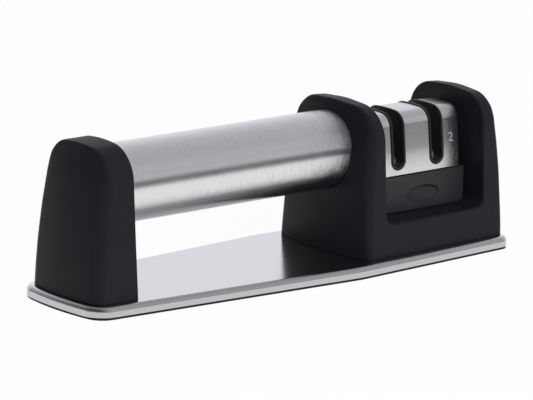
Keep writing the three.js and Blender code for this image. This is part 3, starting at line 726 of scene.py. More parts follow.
low_rows = rows(FOOT_Z, NOTCH_FLOOR - ROW_STEP / 2)
high_rows = rows(NOTCH_FLOOR + NOTCH_CORNER + ROW_STEP, housing_bend)
slice_at("Z", low_rows + high_rows + [housing_bend])
slice_at("Z", rows(housing_bend, RIGHT_TOP), is_housing_end)
slice_at("Y", columns(LEFT_HALF - LEFT_CORNER), is_housing_end)
leave_edit()
print("housing points:", len(housing_shell.data.vertices))

# %% [markdown]
# The notch leaves two cheeks standing. It could be modelled into the shell face by face, but the shell is
# smooth and the notch is crisp, so it is cut with a block whose lower corners are rounded first, and its
# rims are softened. Then each cheek's outer face is bent. The left one curves late, so that it stands
# nearly upright where the tube goes in, and bows a little more towards the top.

# %% Notch and the sweep of the cheeks
NOTCH_RIM = 0.9
NOTCH_RIM_ANGLE = 0.7
NOTCH_RIM_STEPS = 4
NOTCH_CORNER_STEPS = 8
LEFT_SWEEP = 5.4
LEFT_SWEEP_POWER = 3
RIGHT_SWEEP = 5.8
LEFT_BOW = 3.0
LEFT_BOW_GAIN = 0.6
RIGHT_BOW = 1.4
CAGE_GAP = 0.1
PAST = 40.0


def lies_low(bottom):
    """A test for the edges along Y at the bottom of a block."""
    return lambda edge: runs(edge, "Y") and middle(edge).z < bottom + TINY


def is_notch_rim(edge):
    at = middle(edge)
    between = NOTCH_LEFT - TINY < at.x < NOTCH_RIGHT + TINY
    return between and at.z > NOTCH_FLOOR - TINY and is_sharp(edge, NOTCH_RIM_ANGLE)


def bend_left(place):
    if place.x > NOTCH_LEFT - 2 * NOTCH_RIM:
        return (0, 0, 0)
    half = half_at(place.z, LEFT_HALF, LEFT_SHOULDER, LEFT_TOP)
    bow = LEFT_BOW + LEFT_BOW_GAIN * (place.z - FOOT_Z) / (LEFT_TOP - FOOT_Z)
    inwards = sweep(LEFT_SWEEP, place.z, LEFT_TOP, LEFT_SWEEP_POWER)
    return (inwards + bow * (place.y / half) ** 2, 0, 0)


def bend_right(place):
    if place.x < NOTCH_RIGHT + 2 * NOTCH_RIM:
        return (0, 0, 0)
    half = half_at(place.z, RIGHT_HALF, RIGHT_SHOULDER, LEFT_TOP)
    return (-sweep(RIGHT_SWEEP, place.z, LEFT_TOP) - RIGHT_BOW * (place.y / half) ** 2, 0, 0)


notch = block("notch", (NOTCH_LEFT, -PAST, NOTCH_FLOOR), (NOTCH_RIGHT, PAST, 2 * PAST))
round_off(lies_low(NOTCH_FLOOR), NOTCH_CORNER, NOTCH_CORNER_STEPS)
leave_edit()
combine(housing_shell, notch)
only(housing_shell)
edit()
rim_edges = round_off(is_notch_rim, NOTCH_RIM, NOTCH_RIM_STEPS)
leave_edit()
for near, far, bend in (
    (HOUSING_LEFT, NOTCH_LEFT - NOTCH_RIM - CAGE_GAP, bend_left),
    (NOTCH_RIGHT + NOTCH_RIM + CAGE_GAP, HOUSING_RIGHT, bend_right),
):
    lattice_bend(housing_shell, (near, -LEFT_HALF, FOOT_Z), (far, LEFT_HALF, LEFT_TOP), END_CAGE, bend)
print("rim edges softened:", rim_edges)

# %% [markdown]
# A shallow pocket in the notch's floor locates the cartridge, and the tube has its socket in the left
# cheek. Both are plain holes with crisp edges, so they are cut with a block and a rod, after the bending,
# which would have bent them too.

# %% Pocket and socket
CARTRIDGE_X = sum(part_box("cartridge_body"), Vector()).x / 2 / MM
PLATE_HALF_LENGTH = 20.0
PLATE_HALF_DEPTH = 10.0
POCKET_GAP = 0.2
POCKET_FLOOR = 15.3
POCKET_CORNER = 2.5
POCKET_CORNER_STEPS = 6

pocket_reach = Vector((PLATE_HALF_LENGTH + POCKET_GAP, PLATE_HALF_DEPTH + POCKET_GAP, 0))
pocket_middle = Vector((CARTRIDGE_X, 0, 0))
pocket = block(
    "pocket",
    pocket_middle - pocket_reach + Vector((0, 0, POCKET_FLOOR)),
    pocket_middle + pocket_reach + Vector((0, 0, PAST)),
)
round_off(lambda edge: runs(edge, "Z"), POCKET_CORNER, POCKET_CORNER_STEPS)
leave_edit()
combine(housing_shell, pocket)
mouth = rod("mouth", SOCKET_RADIUS, 0, TUBE_RIGHT + SOCKET_PLAY, TUBE_Z, TUBE_SIDES)
leave_edit()
combine(housing_shell, mouth)
finish(housing_shell, "base", ["cartridge_housing"], "soft_touch")

# %% [markdown]
# The cartridge is a plastic block that carries the wheels. Its lower part shows under the steel cover, with
# a thumb scoop in the front and in the back, and its upper part is a core that fills the cover. A flat
# ellipsoid that is tipped forward presses each scoop, so it starts with a step at the top and runs out
# softly below, which an inset could not do.

# %% Section of the cover
LEDGE_Z = 31.5
CAP_LENGTH = 44.2
CAP_SHEET = 0.6
CAP_FOOT = 12.0
CAP_SHOULDER = 9.9
CAP_BELLY = 0.5
CAP_TOP = 56.0
CAP_RISE = 0.7
CAP_SHOULDER_RADIUS = 5.5
CAP_CROWN_RADIUS = 60
CAP_LEAN = (CAP_FOOT - CAP_SHOULDER) / (CAP_TOP - CAP_RISE - LEDGE_Z)


def cover_section(name, x, bottom, grown=0.0):
    """A face with the section of the steel cover, grown or shrunk all round."""
    return arch_face(
        name,
        x,
        CAP_FOOT + CAP_LEAN * (LEDGE_Z - bottom) + grown,
        CAP_SHOULDER + grown,
        bottom,
        CAP_TOP + grown,
        CAP_RISE,
        CAP_SHOULDER_RADIUS + grown,
        CAP_CROWN_RADIUS,
        CAP_BELLY,
    )


def cover_solid(name, left, right, grown, bottom):
    """A bar along X with that section."""
    bar = cover_section(name, left, bottom, grown)
    only(bar)
    edit()
    pick("FACE", anything)
    pull_out((right - left, 0, 0))
    merge_close()
    leave_edit()
    return bar


print("the cover's sides lean by", round(CAP_LEAN, 3))

# %% Cartridge block
BODY_GAP = 0.4
BODY_LEFT = NOTCH_LEFT + BODY_GAP
BODY_RIGHT = NOTCH_RIGHT - BODY_GAP
BODY_HALF_DEPTH = 12.3
BODY_CORNER = 1.2
BODY_CORNER_STEPS = 8
BODY_BOTTOM = 17.7
SCOOP_X = CARTRIDGE_X + 3.65
SCOOP_Z = 23.5
SCOOP_SIZE = (8.2, 2.1, 3.6)
SCOOP_TIP = math.radians(20)
SCOOP_SEGMENTS = 64
SCOOP_RINGS = 32
CORE_GAP = 0.1

block_low = (BODY_LEFT, -BODY_HALF_DEPTH, BODY_BOTTOM)
block_high = (BODY_RIGHT, BODY_HALF_DEPTH, LEDGE_Z)
cartridge_block = block("cartridge_block", block_low, block_high)
round_off(lambda edge: runs(edge, "Z"), BODY_CORNER, BODY_CORNER_STEPS)
leave_edit()
notch_fit = block("notch_fit", (BODY_LEFT, -PAST, BODY_BOTTOM), (BODY_RIGHT, PAST, PAST))
round_off(lies_low(BODY_BOTTOM), NOTCH_CORNER, NOTCH_CORNER_STEPS)
leave_edit()
combine(cartridge_block, notch_fit, "INTERSECT")
for side in (-1, 1):
    clear_bench()
    bpy.ops.mesh.primitive_uv_sphere_add(segments=SCOOP_SEGMENTS, ring_count=SCOOP_RINGS, radius=1)
    scoop = take_new("scoop", (0, 0, 0), SCOOP_SIZE)
    leave_edit()
    scoop.rotation_euler = (side * SCOOP_TIP, 0, 0)
    scoop.location = (SCOOP_X, side * BODY_HALF_DEPTH, SCOOP_Z)
    apply_place()
    combine(cartridge_block, scoop)
core_half = CAP_LENGTH / 2 - CORE_GAP
core_left, core_right = CARTRIDGE_X - core_half, CARTRIDGE_X + core_half
core = cover_solid("core", core_left, core_right, -CAP_SHEET - CORE_GAP, LEDGE_Z - CORE_GAP)
combine(cartridge_block, core, "UNION")
print("cartridge block faces:", len(cartridge_block.data.polygons))

# %% [markdown]
# Each knife slot is a channel through the cover and the block, round at its bottom, with a chamber below it
# for the wheels. A channel is a block with two edges fully rounded, so one helper makes the slots, and a
# second the chambers and the saddles that hold the axles.

# %% Channels for the slots and the wheels
STAGES = ("coarse", "fine")
SLOT_PLACES = {stage: sum(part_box(f"{stage}_axle"), Vector()).x / 2 / MM for stage in STAGES}
SLOT_HALF = 2.45
SLOT_BOTTOM = 35.2
SLOT_STEPS = 10
LINER_WALL = 1.1
LINER_GAP = 0.1
CUT_HALF = SLOT_HALF + LINER_WALL + LINER_GAP
CUT_BOTTOM = SLOT_BOTTOM - LINER_WALL - LINER_GAP
AXLE_Z = 32.1
CHAMBER_RADIUS = 9.0
CHAMBER_HALF = 5.9
CHAMBER_STEPS = 12
SADDLE_RADIUS = 2.15
SADDLE_HALF = 8.2
FULL_ROUND = 0.999
OVERSHOOT = 5


def slot_channel(name, x, half, bottom):
    """A slot seen from the front: open at the top, round at the bottom."""
    tool = block(name, (x - half, -PAST, bottom), (x + half, PAST, CAP_TOP + OVERSHOOT))
    round_off(lies_low(bottom), half * FULL_ROUND, SLOT_STEPS)
    leave_edit()
    return tool


def wheel_room(name, x, half, radius):
    """Room round an axle: round above it, open below."""
    top = AXLE_Z + radius
    tool = block(name, (x - half, -radius, BODY_BOTTOM - OVERSHOOT), (x + half, radius, top))
    lies_high = lambda edge: runs(edge, "X") and middle(edge).z > top - TINY
    round_off(lies_high, radius * FULL_ROUND, CHAMBER_STEPS)
    leave_edit()
    return tool


for x in SLOT_PLACES.values():
    combine(cartridge_block, slot_channel("slot", x, CUT_HALF, CUT_BOTTOM))
    combine(cartridge_block, wheel_room("chamber", x, CHAMBER_HALF, CHAMBER_RADIUS))
    combine(cartridge_block, wheel_room("saddle", x, SADDLE_HALF, SADDLE_RADIUS))
finish(cartridge_block, "cartridge", ["cartridge_body"], "cartridge_plastic")

# %% [markdown]
# The cover is a bent sheet of brushed steel, with sides that bow out by half a millimetre. It is drawn as
# the line of its section, pulled along the cartridge, thickened inwards and slotted, and its sharp edges
# are broken so that they catch the light. A sheet with the bow in its section keeps it under the slots,
# where sculpting would ripple.

# %% Steel cover
COVER_FOOT = 31.9
COVER_BREAK = 0.2
COVER_BREAK_STEPS = 3

steel_cover = cover_section("steel_cover", CARTRIDGE_X - CAP_LENGTH / 2, COVER_FOOT)
only(steel_cover)
edit()
pick("FACE", anything)
bpy.ops.mesh.delete(type="ONLY_FACE")
pick("EDGE", lambda edge: middle(edge).z < COVER_FOOT + TINY)
bpy.ops.mesh.delete(type="EDGE")
pick("EDGE", anything)
pull_out((CAP_LENGTH, 0, 0))
pick("VERT", anything)
bpy.ops.mesh.normals_make_consistent(inside=False)
if pick("FACE", lambda face: faces_towards(face, (0, 0, -1))):
    pick("FACE", anything)
    bpy.ops.mesh.flip_normals()
leave_edit()
apply_modifier(steel_cover, "SOLIDIFY", thickness=CAP_SHEET, offset=-1, use_even_offset=True)
for x in SLOT_PLACES.values():
    combine(steel_cover, slot_channel("slot", x, CUT_HALF, CUT_BOTTOM))
only(steel_cover)
edit()
round_off(is_sharp, COVER_BREAK, COVER_BREAK_STEPS)
leave_edit()
finish(steel_cover, "cartridge", ["cartridge_cap"], "cap_steel")

# %% [markdown]
# A black plastic guide lines each slot and stands a hair proud of the cover, so a blade never touches the
# steel. It is what a grown bar of the cover's section shares with a slot-shaped block, less the slot itself
# and the wheel room. Cut this way, it follows the cover's curve without any fitting.

# %% Slot guides
GUIDE_PROUD = 0.4
GUIDE_EDGE = 0.42
GUIDE_EDGE_ANGLE = 0.9
GUIDE_EDGE_STEPS = 5
GUIDE_SPAN = 10

for stage, x in SLOT_PLACES.items():
    guide = slot_channel(f"{stage}_guide", x, SLOT_HALF + LINER_WALL, SLOT_BOTTOM - LINER_WALL)
    grown = cover_solid("grown", x - GUIDE_SPAN, x + GUIDE_SPAN, GUIDE_PROUD, LEDGE_Z)
    combine(guide, grown, "INTERSECT")
    combine(guide, slot_channel("slot", x, SLOT_HALF, SLOT_BOTTOM))
    only(guide)
    edit()
    round_off(lambda edge: is_sharp(edge, GUIDE_EDGE_ANGLE), GUIDE_EDGE, GUIDE_EDGE_STEPS)
    leave_edit()
    combine(guide, wheel_room("chamber", x, CHAMBER_HALF, CHAMBER_RADIUS))
    finish(guide, "cartridge", [f"{stage}_slot_liner"], "liner_plastic")

# %% [markdown]
# Under each slot two conical wheels stand back to back on a free axle, so a blade rests in the V between
# them, and a spacer keeps each from rubbing on the block. A wheel could be spun from its profile, but a
# cylinder whose inner face is drawn out to a smaller circle needs no drawing. One of each is turned, and
# the others are copies.

# %% Wheels and spacers
WHEEL_RADIUS = 8.5
WHEEL_ROOT = 4.5
WHEEL_THICKNESS = 4.2
WHEEL_BEVEL = (WHEEL_RADIUS - WHEEL_ROOT) * math.tan(math.radians(20))
WHEEL_BREAK = 0.4
WHEEL_BREAK_STEPS = 3
WHEEL_GAP = 0.05
WHEEL_SIDES = 72
BORE = 2.1
BORE_PAST = 1
SPACER_RADIUS = 3.6
SPACER_NEAR = 4.35
SPACER_THICKNESS = 1.4
SPACER_BREAK = 0.2
SMALL_STEPS = 2


def bore_through(piece, start, end):
    """Opens the axle's hole along X through a round piece."""
    bore = rod("bore", BORE, start - BORE_PAST, end + BORE_PAST, AXLE_Z, WHEEL_SIDES)
    leave_edit()
    combine(piece, bore)


def turn_wheel(side):
    """A wheel at x = 0, its cone towards the middle, on the left or on the right side."""
    near, far = side * (WHEEL_GAP + WHEEL_BEVEL), side * (WHEEL_GAP + WHEEL_THICKNESS)
    left, right = min(near, far), max(near, far)
    wheel = rod("wheel", WHEEL_RADIUS, left, right, AXLE_Z, WHEEL_SIDES)
    pick("FACE", lambda face: at_x(face, near) and faces_sideways(face))
    pull_out((-side * WHEEL_BEVEL, 0, 0))
    shrink = WHEEL_ROOT / WHEEL_RADIUS
    cone_end = (side * WHEEL_GAP, 0, AXLE_Z)
    bpy.ops.transform.resize(value=(1, shrink, shrink), center_override=cone_end)
    round_off(lambda edge: at_x(edge, far) and is_sharp(edge), WHEEL_BREAK, WHEEL_BREAK_STEPS)
    bore_through(wheel, left - WHEEL_THICKNESS, right)
    return wheel


def turn_spacer(side):
    near, far = side * SPACER_NEAR, side * (SPACER_NEAR + SPACER_THICKNESS)
    left, right = min(near, far), max(near, far)
    spacer = rod("spacer", SPACER_RADIUS, left, right, AXLE_Z, WHEEL_SIDES)
    round_off(is_sharp, SPACER_BREAK, SMALL_STEPS)
    bore_through(spacer, left, right)
    return spacer


print("a wheel's cone is", round(WHEEL_BEVEL, 2), "mm deep")

# %% Axles, and the copies of what was turned
AXLE_RADIUS = 2.0
AXLE_LENGTH = 16.0
AXLE_SIDES = 48
AXLE_BREAK = 0.3
ABRASIVES = {"coarse": "diamond_steel", "fine": "wheel_ceramic"}

axle = rod("axle", AXLE_RADIUS, -AXLE_LENGTH / 2, AXLE_LENGTH / 2, AXLE_Z, AXLE_SIDES)
round_off(is_sharp, AXLE_BREAK, SMALL_STEPS)
leave_edit()
turned = [("axle", "pin", axle, "screw_steel")]
for end, side in (("left", -1), ("right", 1)):
    turned.append((f"wheel_{end}", f"disc_{end}", turn_wheel(side), None))
    turned.append((f"spacer_{end}", f"washer_{end}", turn_spacer(side), "nylon"))
for stage, x in SLOT_PLACES.items():
    for node, word, model, slot in turned:
        made = copy_of(model, f"{stage}_{word}", (x, 0, 0))
        finish(made, f"{stage}_roller", [f"{stage}_{node}"], slot or ABRASIVES[stage])
for node, word, model, slot in turned:
    bpy.data.objects.remove(model)

# %% [markdown]
# Screws from below hold the base, the post and the housing together, and two smaller ones hold the plate
# under the cartridge. They show when the sharpener is turned over or the cartridge is lifted out. One of
# each size is turned, gets its cross recess, and is copied. Their threads are never seen, so the shanks
# are plain.

# %% Screws
SCREW_SIDES = 40
BASE_SCREW = {"radius": 1.5, "head_radius": 2.9, "head_height": 1.8, "seat": 2.65, "tip": 11.5}
FLOOR_SCREW = {"radius": 1.1, "head_radius": 2.1, "head_height": 1.2, "seat": 16.6, "tip": 23.7}
HEAD_ROUND = 0.55
HEAD_ROUND_STEPS = 5
TIP_SHARE = 0.2
CROSS_REACH = 0.62
CROSS_BAR = 0.4
CROSS_DEPTH = 0.6
CROSS_PAST = 1


def make_screw(name, radius, head_radius, head_height, seat, tip):
    """A pan-head screw at the origin that points up, its head below the seat."""
    clear_bench()
    bpy.ops.mesh.primitive_cylinder_add(vertices=SCREW_SIDES, radius=head_radius, depth=head_height)
    screw = take_new(name, (0, 0, seat - head_height / 2), (1, 1, 1))
    is_low_edge = lambda edge: middle(edge).z < seat - head_height + TINY and not runs(edge, "Z")
    round_off(is_low_edge, head_height * HEAD_ROUND, HEAD_ROUND_STEPS)
    pick("FACE", lambda face: faces_towards(face, (0, 0, 1)))
    bpy.ops.mesh.inset(thickness=head_radius - radius)
    pull_out((0, 0, tip - radius - seat))
    pull_out((0, 0, radius))
    bpy.ops.transform.resize(value=(TIP_SHARE, TIP_SHARE, 1), center_override=(0, 0, tip))
    leave_edit()
    reach, depth = head_radius * CROSS_REACH, head_height * CROSS_DEPTH
    low, high = seat - head_height - CROSS_PAST, seat - head_height + depth
    for along, across in ((reach, CROSS_BAR), (CROSS_BAR, reach)):
        cross = block("cross", (-along, -across, low), (along, across, high))
        leave_edit()
        combine(screw, cross)
    return screw


screw_models = {
    "base": make_screw("base_screw", **BASE_SCREW),
    "cartridge": make_screw("floor_screw", **FLOOR_SCREW),
}
for node in sorted(frame["nodes"]):
    if "_screw_" not in node:
        continue
    low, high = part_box(node)
    place = (low + high) / 2 / MM
    body = "cartridge" if node.startswith("floor") else "base"
    made = copy_of(screw_models[body], node.replace("_screw_", "_fastener_"), (place.x, place.y, 0))
    made.location.z = low.z / MM - min(corner[2] for corner in made.bound_box)
    apply_place()
    finish(made, body, [node], "screw_steel")
for model in screw_models.values():
    bpy.data.objects.remove(model)

# %% [markdown]
# Finishes are built from nodes. One small class wraps a socket, so sums on sockets read as sums in Python,
# and one method adds any other node with its settings and its inputs. Every pattern reads the object's own
# coordinates, which are the sharpener's frame in metres.

# %% Sums on sockets
class Signal:
    """A socket that Python's signs can do sums with; each sum adds a Math node."""

    def __init__(self, finish, socket):
        self.finish = finish
        self.socket = socket

    def sum_of(self, operation, first, second):
        return self.finish.node("ShaderNodeMath", {"operation": operation}, {0: first, 1: second})

    def __add__(self, other):
        return self.sum_of("ADD", self, other)

    __radd__ = __add__

    def __sub__(self, other):
        return self.sum_of("SUBTRACT", self, other)

    def __rsub__(self, other):
        return self.sum_of("SUBTRACT", other, self)

    def __mul__(self, other):
        return self.sum_of("MULTIPLY", self, other)

    __rmul__ = __mul__


finishes = {}
print("sums ready, finishes so far:", len(finishes))

# %% Finish tools
MIX_FIRST = 6
MIX_SECOND = 7
MIX_COLOUR = 2


class Finish:
    """One finish: a Principled shader and the nodes that feed it."""

    def __init__(self, name, tree=None):
        if tree is None:
            self.material = bpy.data.materials.new(name)
            self.material.use_nodes = True
            tree = self.material.node_tree
        self.tree = tree
        self.shader = tree.nodes.get("Principled BSDF")

    def node(self, kind, settings=None, sockets=None, output=0):
        """Adds any node: its settings first, then the values or links of its sockets."""
        made = self.tree.nodes.new(kind)
        for key, value in (settings or {}).items():
            if key == "stops":
                self.set_stops(made.color_ramp, value)
            else:
                setattr(made, key, value)
        self.feed(made, sockets or {})
        return Signal(self, made.outputs[output])

    def set_stops(self, ramp, stops):
        while len(ramp.elements) < len(stops):
            ramp.elements.new(0.5)
        for element, (place, grey) in zip(ramp.elements, stops):
            element.position = place
            element.color = (grey, grey, grey, 1)

    def feed(self, node, sockets):
        for key, value in sockets.items():
            socket = node.inputs[key]
            if isinstance(value, Signal):
                self.tree.links.new(value.socket, socket)
            else:
                socket.default_value = value

    def surface(self, **sockets):
        self.feed(self.shader, {key.replace("_", " "): value for key, value in sockets.items()})

    def coordinates(self, stretch=(1, 1, 1)):
        place = self.node("ShaderNodeTexCoord", output="Object")
        return self.node("ShaderNodeMapping", {}, {"Vector": place, "Scale": stretch})

    def noise(self, scale, detail=2.0, stretch=(1, 1, 1)):
        sockets = {"Vector": self.coordinates(stretch), "Scale": scale, "Detail": detail}
        return self.node("ShaderNodeTexNoise", {}, sockets)

    def mix(self, share, first, second, how="MIX"):
        """Goes from one colour to another by a share, or multiplies them."""
        settings = {"data_type": "RGBA", "blend_type": how}
        sockets = {0: share, MIX_FIRST: first, MIX_SECOND: second}
        return self.node("ShaderNodeMix", settings, sockets, MIX_COLOUR)

    def blend(self, share, first, second):
        return self.mix(share, (*first, 1), (*second, 1))

    def ramp(self, value, low, high, at_low, at_high):
        """A number that goes from at_low to at_high while a value goes from low to high."""
        return self.node("ShaderNodeMapRange", {}, {0: value, 1: low, 2: high, 3: at_low, 4: at_high})

    def bump(self, height, strength, distance):
        sockets = {"Height": height, "Strength": strength, "Distance": distance}
        return self.node("ShaderNodeBump", {}, sockets)


def shade(colour, factor):
    return tuple(channel * factor for channel in colour)


print("finish tools ready")

# %% [markdown]
# The moulded pieces have a soft-touch coat: a deep charcoal with a very fine grain that spreads every
# highlight. The cartridge is bare plastic with a slightly coarser spark-eroded texture, and the guides are
# smoother. One recipe makes them all: a fine noise gives the grain and its bump, and a broad one a slight
# mottling of tone and gloss.

# %% Plastics and rubber
GRAIN_DETAIL = 3
GRAIN_GLOSS = 0.12
GRAIN_STRENGTH = 0.35
MOTTLES = 45
MOTTLE_GLOSS = 0.08
DARK = (0.012, 0.012, 0.013)


def moulded(slot, colour, roughness, grain, depth, mottling=0.12, gloss=0.35):
    """A plastic; the grain's size and depth are in metres."""
    plastic = Finish(slot)
    grains = plastic.noise(1 / grain, GRAIN_DETAIL)
    mottles = plastic.noise(MOTTLES)
    tone = plastic.blend(mottles, shade(colour, 1 - mottling), shade(colour, 1 + mottling))
    rough = roughness + (grains - 0.5) * GRAIN_GLOSS + (mottles - 0.5) * MOTTLE_GLOSS
    normal = plastic.bump(grains, GRAIN_STRENGTH, depth)
    plastic.surface(Base_Color=tone, Roughness=rough, Normal=normal, Specular_IOR_Level=gloss)
    finishes[slot] = plastic.material


moulded("soft_touch", (0.0108, 0.0122, 0.0155), 0.46, grain=0.00035, depth=0.00004, gloss=0.11)
moulded("cartridge_plastic", (0.0205, 0.0215, 0.024), 0.5, grain=0.0005, depth=0.00006)
moulded("liner_plastic", DARK, 0.36, grain=0.0004, depth=0.00002)
moulded("inner_plastic", DARK, 0.62, grain=0.0006, depth=0.00005)
moulded("pad_rubber", (0.008, 0.008, 0.008), 0.82, grain=0.0009, depth=0.00012)
moulded("nylon", (0.62, 0.59, 0.52), 0.5, grain=0.0008, depth=0.00003, mottling=0.05)
moulded("wheel_ceramic", (0.14, 0.135, 0.13), 0.6, grain=0.00025, depth=0.00006, mottling=0.08)
print("plastics:", sorted(finishes))

# %% [markdown]
# The steel is bare and brushed. Brushing leaves fine lines in one direction, which spread a reflection
# across them and keep it sharp along them. The lines are a noise that is stretched along the brush, and
# they tilt the surface a little, vary its gloss and, faintly, its tone. The tube is brushed round and the
# cover over its top, and the base along its length. The base's rim is left rougher than its plate, as a
# pressed edge is, and its colour is painted darker as shade on the rim; a ramp on the height mixes the two.

# %% Steels
LINE_DARK = 0.93
LINE_BRIGHT = 1.05
LINE_STRENGTH = 0.5
SMUDGES = 30
SMUDGE_GLOSS = 0.05
# Painted shade on the base's rim: a darker grey than the plate's steel, standing in for dimmer light there.
RIM_PAINTED_SHADE_COLOUR = (0.545, 0.54, 0.55)
RIM_ROUGH_AND_SHADE_LOW = 0.0045
RIM_ROUGH_AND_SHADE_HIGH = 0.00485
RIM_DULLING = 0.08


def brushed(slot, colour, roughness, stretch, tilt, variation=0.1):
    """A steel; stretch says how fine its lines are, per metre, and tilt how deep, in metres."""
    steel = Finish(slot)
    lines = steel.noise(1, stretch=stretch)
    smudges = steel.noise(SMUDGES)
    steel.tone = steel.blend(lines, shade(colour, LINE_DARK), shade(colour, LINE_BRIGHT))
    steel.rough = roughness + (lines - 0.5) * variation + (smudges - 0.5) * SMUDGE_GLOSS
    normal = steel.bump(lines, LINE_STRENGTH, tilt)
    steel.surface(Base_Color=steel.tone, Metallic=1.0, Roughness=steel.rough, Normal=normal)
    finishes[slot] = steel.material
    return steel


brushed("tube_steel", (0.76, 0.755, 0.76), 0.22, (7000, 60, 60), tilt=0.00014, variation=0.05)
plate = brushed("base_steel", (0.71, 0.715, 0.72), 0.17, (60, 6000, 6000), tilt=0.000001, variation=0.05)
plate_height = plate.node("ShaderNodeSeparateXYZ", {}, {0: plate.coordinates()}, "Z")
on_rim = plate.ramp(plate_height, RIM_ROUGH_AND_SHADE_LOW, RIM_ROUGH_AND_SHADE_HIGH, 1.0, 0.0)
# Paints shade on the rim: below the top's edge the plate's tone turns to the darker rim grey.
tone_with_painted_rim_shade = plate.mix(on_rim, plate.tone, (*RIM_PAINTED_SHADE_COLOUR, 1))
plate.surface(Base_Color=tone_with_painted_rim_shade, Roughness=plate.rough + on_rim * RIM_DULLING)
brushed("cap_steel", (0.72, 0.715, 0.72), 0.27, (7000, 90, 90), tilt=0.00003, variation=0.04)
brushed("screw_steel", (0.5, 0.5, 0.52), 0.3, (900, 900, 900), tilt=0.00001)
print("finishes:", sorted(finishes))

# %% [markdown]
# The coarse wheels are steel with a coat of diamond grit. The grit is a noise at the size of the grains,
# which makes dark and bright specks, roughens them and raises them. Real grains could be scattered as
# meshes, but they lie deep in the slot and are too small to be told apart.

# %% Diamond grit
GRIT_SCALE = 9000
GRIT_DETAIL = 1
GRIT_DARK = (0.12, 0.12, 0.13)
GRIT_BRIGHT = (0.42, 0.42, 0.45)
GRIT_METALLIC = 0.6
GRIT_ROUGH = 0.55
GRIT_ROUGH_SPREAD = 0.3
GRIT_STRENGTH = 0.8
GRIT_DEPTH = 0.00008

diamond = Finish("diamond_steel")
grit = diamond.noise(GRIT_SCALE, GRIT_DETAIL)
diamond.surface(
    Base_Color=diamond.blend(grit, GRIT_DARK, GRIT_BRIGHT),
    Metallic=GRIT_METALLIC,
    Roughness=GRIT_ROUGH + grit * GRIT_ROUGH_SPREAD,
    Normal=diamond.bump(grit, GRIT_STRENGTH, GRIT_DEPTH),
)
finishes["diamond_steel"] = diamond.material
print("grains of about", round(1 / GRIT_SCALE / MM, 2), "mm")

# %% [markdown]
# Every piece takes the finish that the record names for it. The pad, the tray and the plate under the
# cartridge are flat mouldings whose solids are already right, so they keep their own meshes and only
# change their material.

# %% Put the finishes on
def dress(piece, slot):
    piece.data.materials.clear()
    piece.data.materials.append(finishes[slot])


for piece in pieces.values():
    dress(piece, piece["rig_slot"])
node_slots = {row["node"]: row["material_slot"] for row in frame["record"]["subparts"]}
for name, node in frame["nodes"].items():
    dress(node, node_slots[name])
print("dressed pieces:", len(pieces), "nodes:", len(node_slots))

# %% [markdown]
# Plain numerals mark the two stages on the front of the cover: 1 for the coarse slot and 2 for the fine
# one. They are text that is turned into a mesh, a few hundredths of a millimetre thick. The cover is bowed,
# so a ray from the front finds the spot and the lean of each numeral.

# %% Stage numerals
NUMERAL_HEIGHT = 5.2
NUMERAL_Z = 43.5
NUMERAL_ASIDE = 7.4
NUMERAL_DEPTH = 0.05
INK_DARK = (0.28, 0.28, 0.29)
INK_LIGHT = (0.34, 0.34, 0.35)
INK_SPECKS = 4000
INK_ROUGH = 0.5
INK_ROUGH_SPREAD = 0.1

ink = Finish("stage_ink")
specks = ink.noise(INK_SPECKS)
ink_tone = ink.blend(specks, INK_DARK, INK_LIGHT)
ink.surface(Base_Color=ink_tone, Roughness=INK_ROUGH + specks * INK_ROUGH_SPREAD)
finishes["stage_ink"] = ink.material
for numeral, stage, aside in (("1", "coarse", -NUMERAL_ASIDE), ("2", "fine", NUMERAL_ASIDE)):
    clear_bench()
    bpy.ops.object.text_add()
    text = bpy.context.object.data
    text.body = numeral
    text.align_x = "CENTER"
    text.align_y = "CENTER"
    text.size = NUMERAL_HEIGHT
    text.extrude = NUMERAL_DEPTH
    bpy.ops.object.convert(target="MESH")
    mark = bpy.context.object
    mark.name = f"{stage}_numeral"
    mark.data.name = mark.name
    ray_start = Vector((SLOT_PLACES[stage] + aside, -PAST, NUMERAL_Z)) * MM
    hit = pieces["steel_cover"].ray_cast(ray_start, AXES["Y"])
    spot, normal = hit[1], hit[2]
    mark.rotation_euler = (math.radians(90) - math.asin(normal.z), 0, 0)
    mark.location = spot / MM
    apply_place()
    finish(mark, "cartridge", [], "liner_plastic")
    dress(mark, "stage_ink")

# %% [markdown]
# The stage is a white table in a bright room. The table ends a hand's breadth in front of the object, so
# that the steel shows the dark room below its edge. To the camera and in reflections the table is plain
# white, and a trace of its paint is left in so that it keeps the object's shadow.

# %% Floor
FLOOR_SIZE = 6.0
FLOOR_FRONT = 0.31
FLOOR_Z = -0.0002
FLOOR_PAINT = (0.9, 0.9, 0.9, 1)
FLOOR_GLOW = 0.96
WHITE = (1, 1, 1, 1)

bpy.ops.mesh.primitive_plane_add(size=FLOOR_SIZE, location=(0, FLOOR_SIZE / 2 - FLOOR_FRONT, FLOOR_Z))
floor = bpy.context.object
floor.name = "stage_floor"
table = Finish("stage_floor")
camera_ray = table.node("ShaderNodeLightPath", output="Is Camera Ray")
glossy_ray = table.node("ShaderNodeLightPath", output="Is Glossy Ray")
glow = table.node("ShaderNodeEmission", {}, {"Color": WHITE, "Strength": 1.0})
paint = table.node("ShaderNodeBsdfDiffuse", {}, {"Color": FLOOR_PAINT})
glow_share = (camera_ray + glossy_ray) * FLOOR_GLOW
white_table = table.node("ShaderNodeMixShader", {}, {0: glow_share, 1: paint, 2: glow})
table.feed(table.tree.nodes["Material Output"], {"Surface": white_table})
floor.data.materials.append(table.material)
print("floor from", -FLOOR_FRONT, "m in front to", FLOOR_SIZE - FLOOR_FRONT, "m behind")

# %% [markdown]
# The room gives the steel what it reflects. Its front wall is dark up to a little above the table, then has
# a light band with grey above it, which makes the dark and bright bands along the tube. The wall behind is
# white and darkens upwards, and the left side is dim, so that the faces turned that way stay deep. The
# camera itself sees plain white.

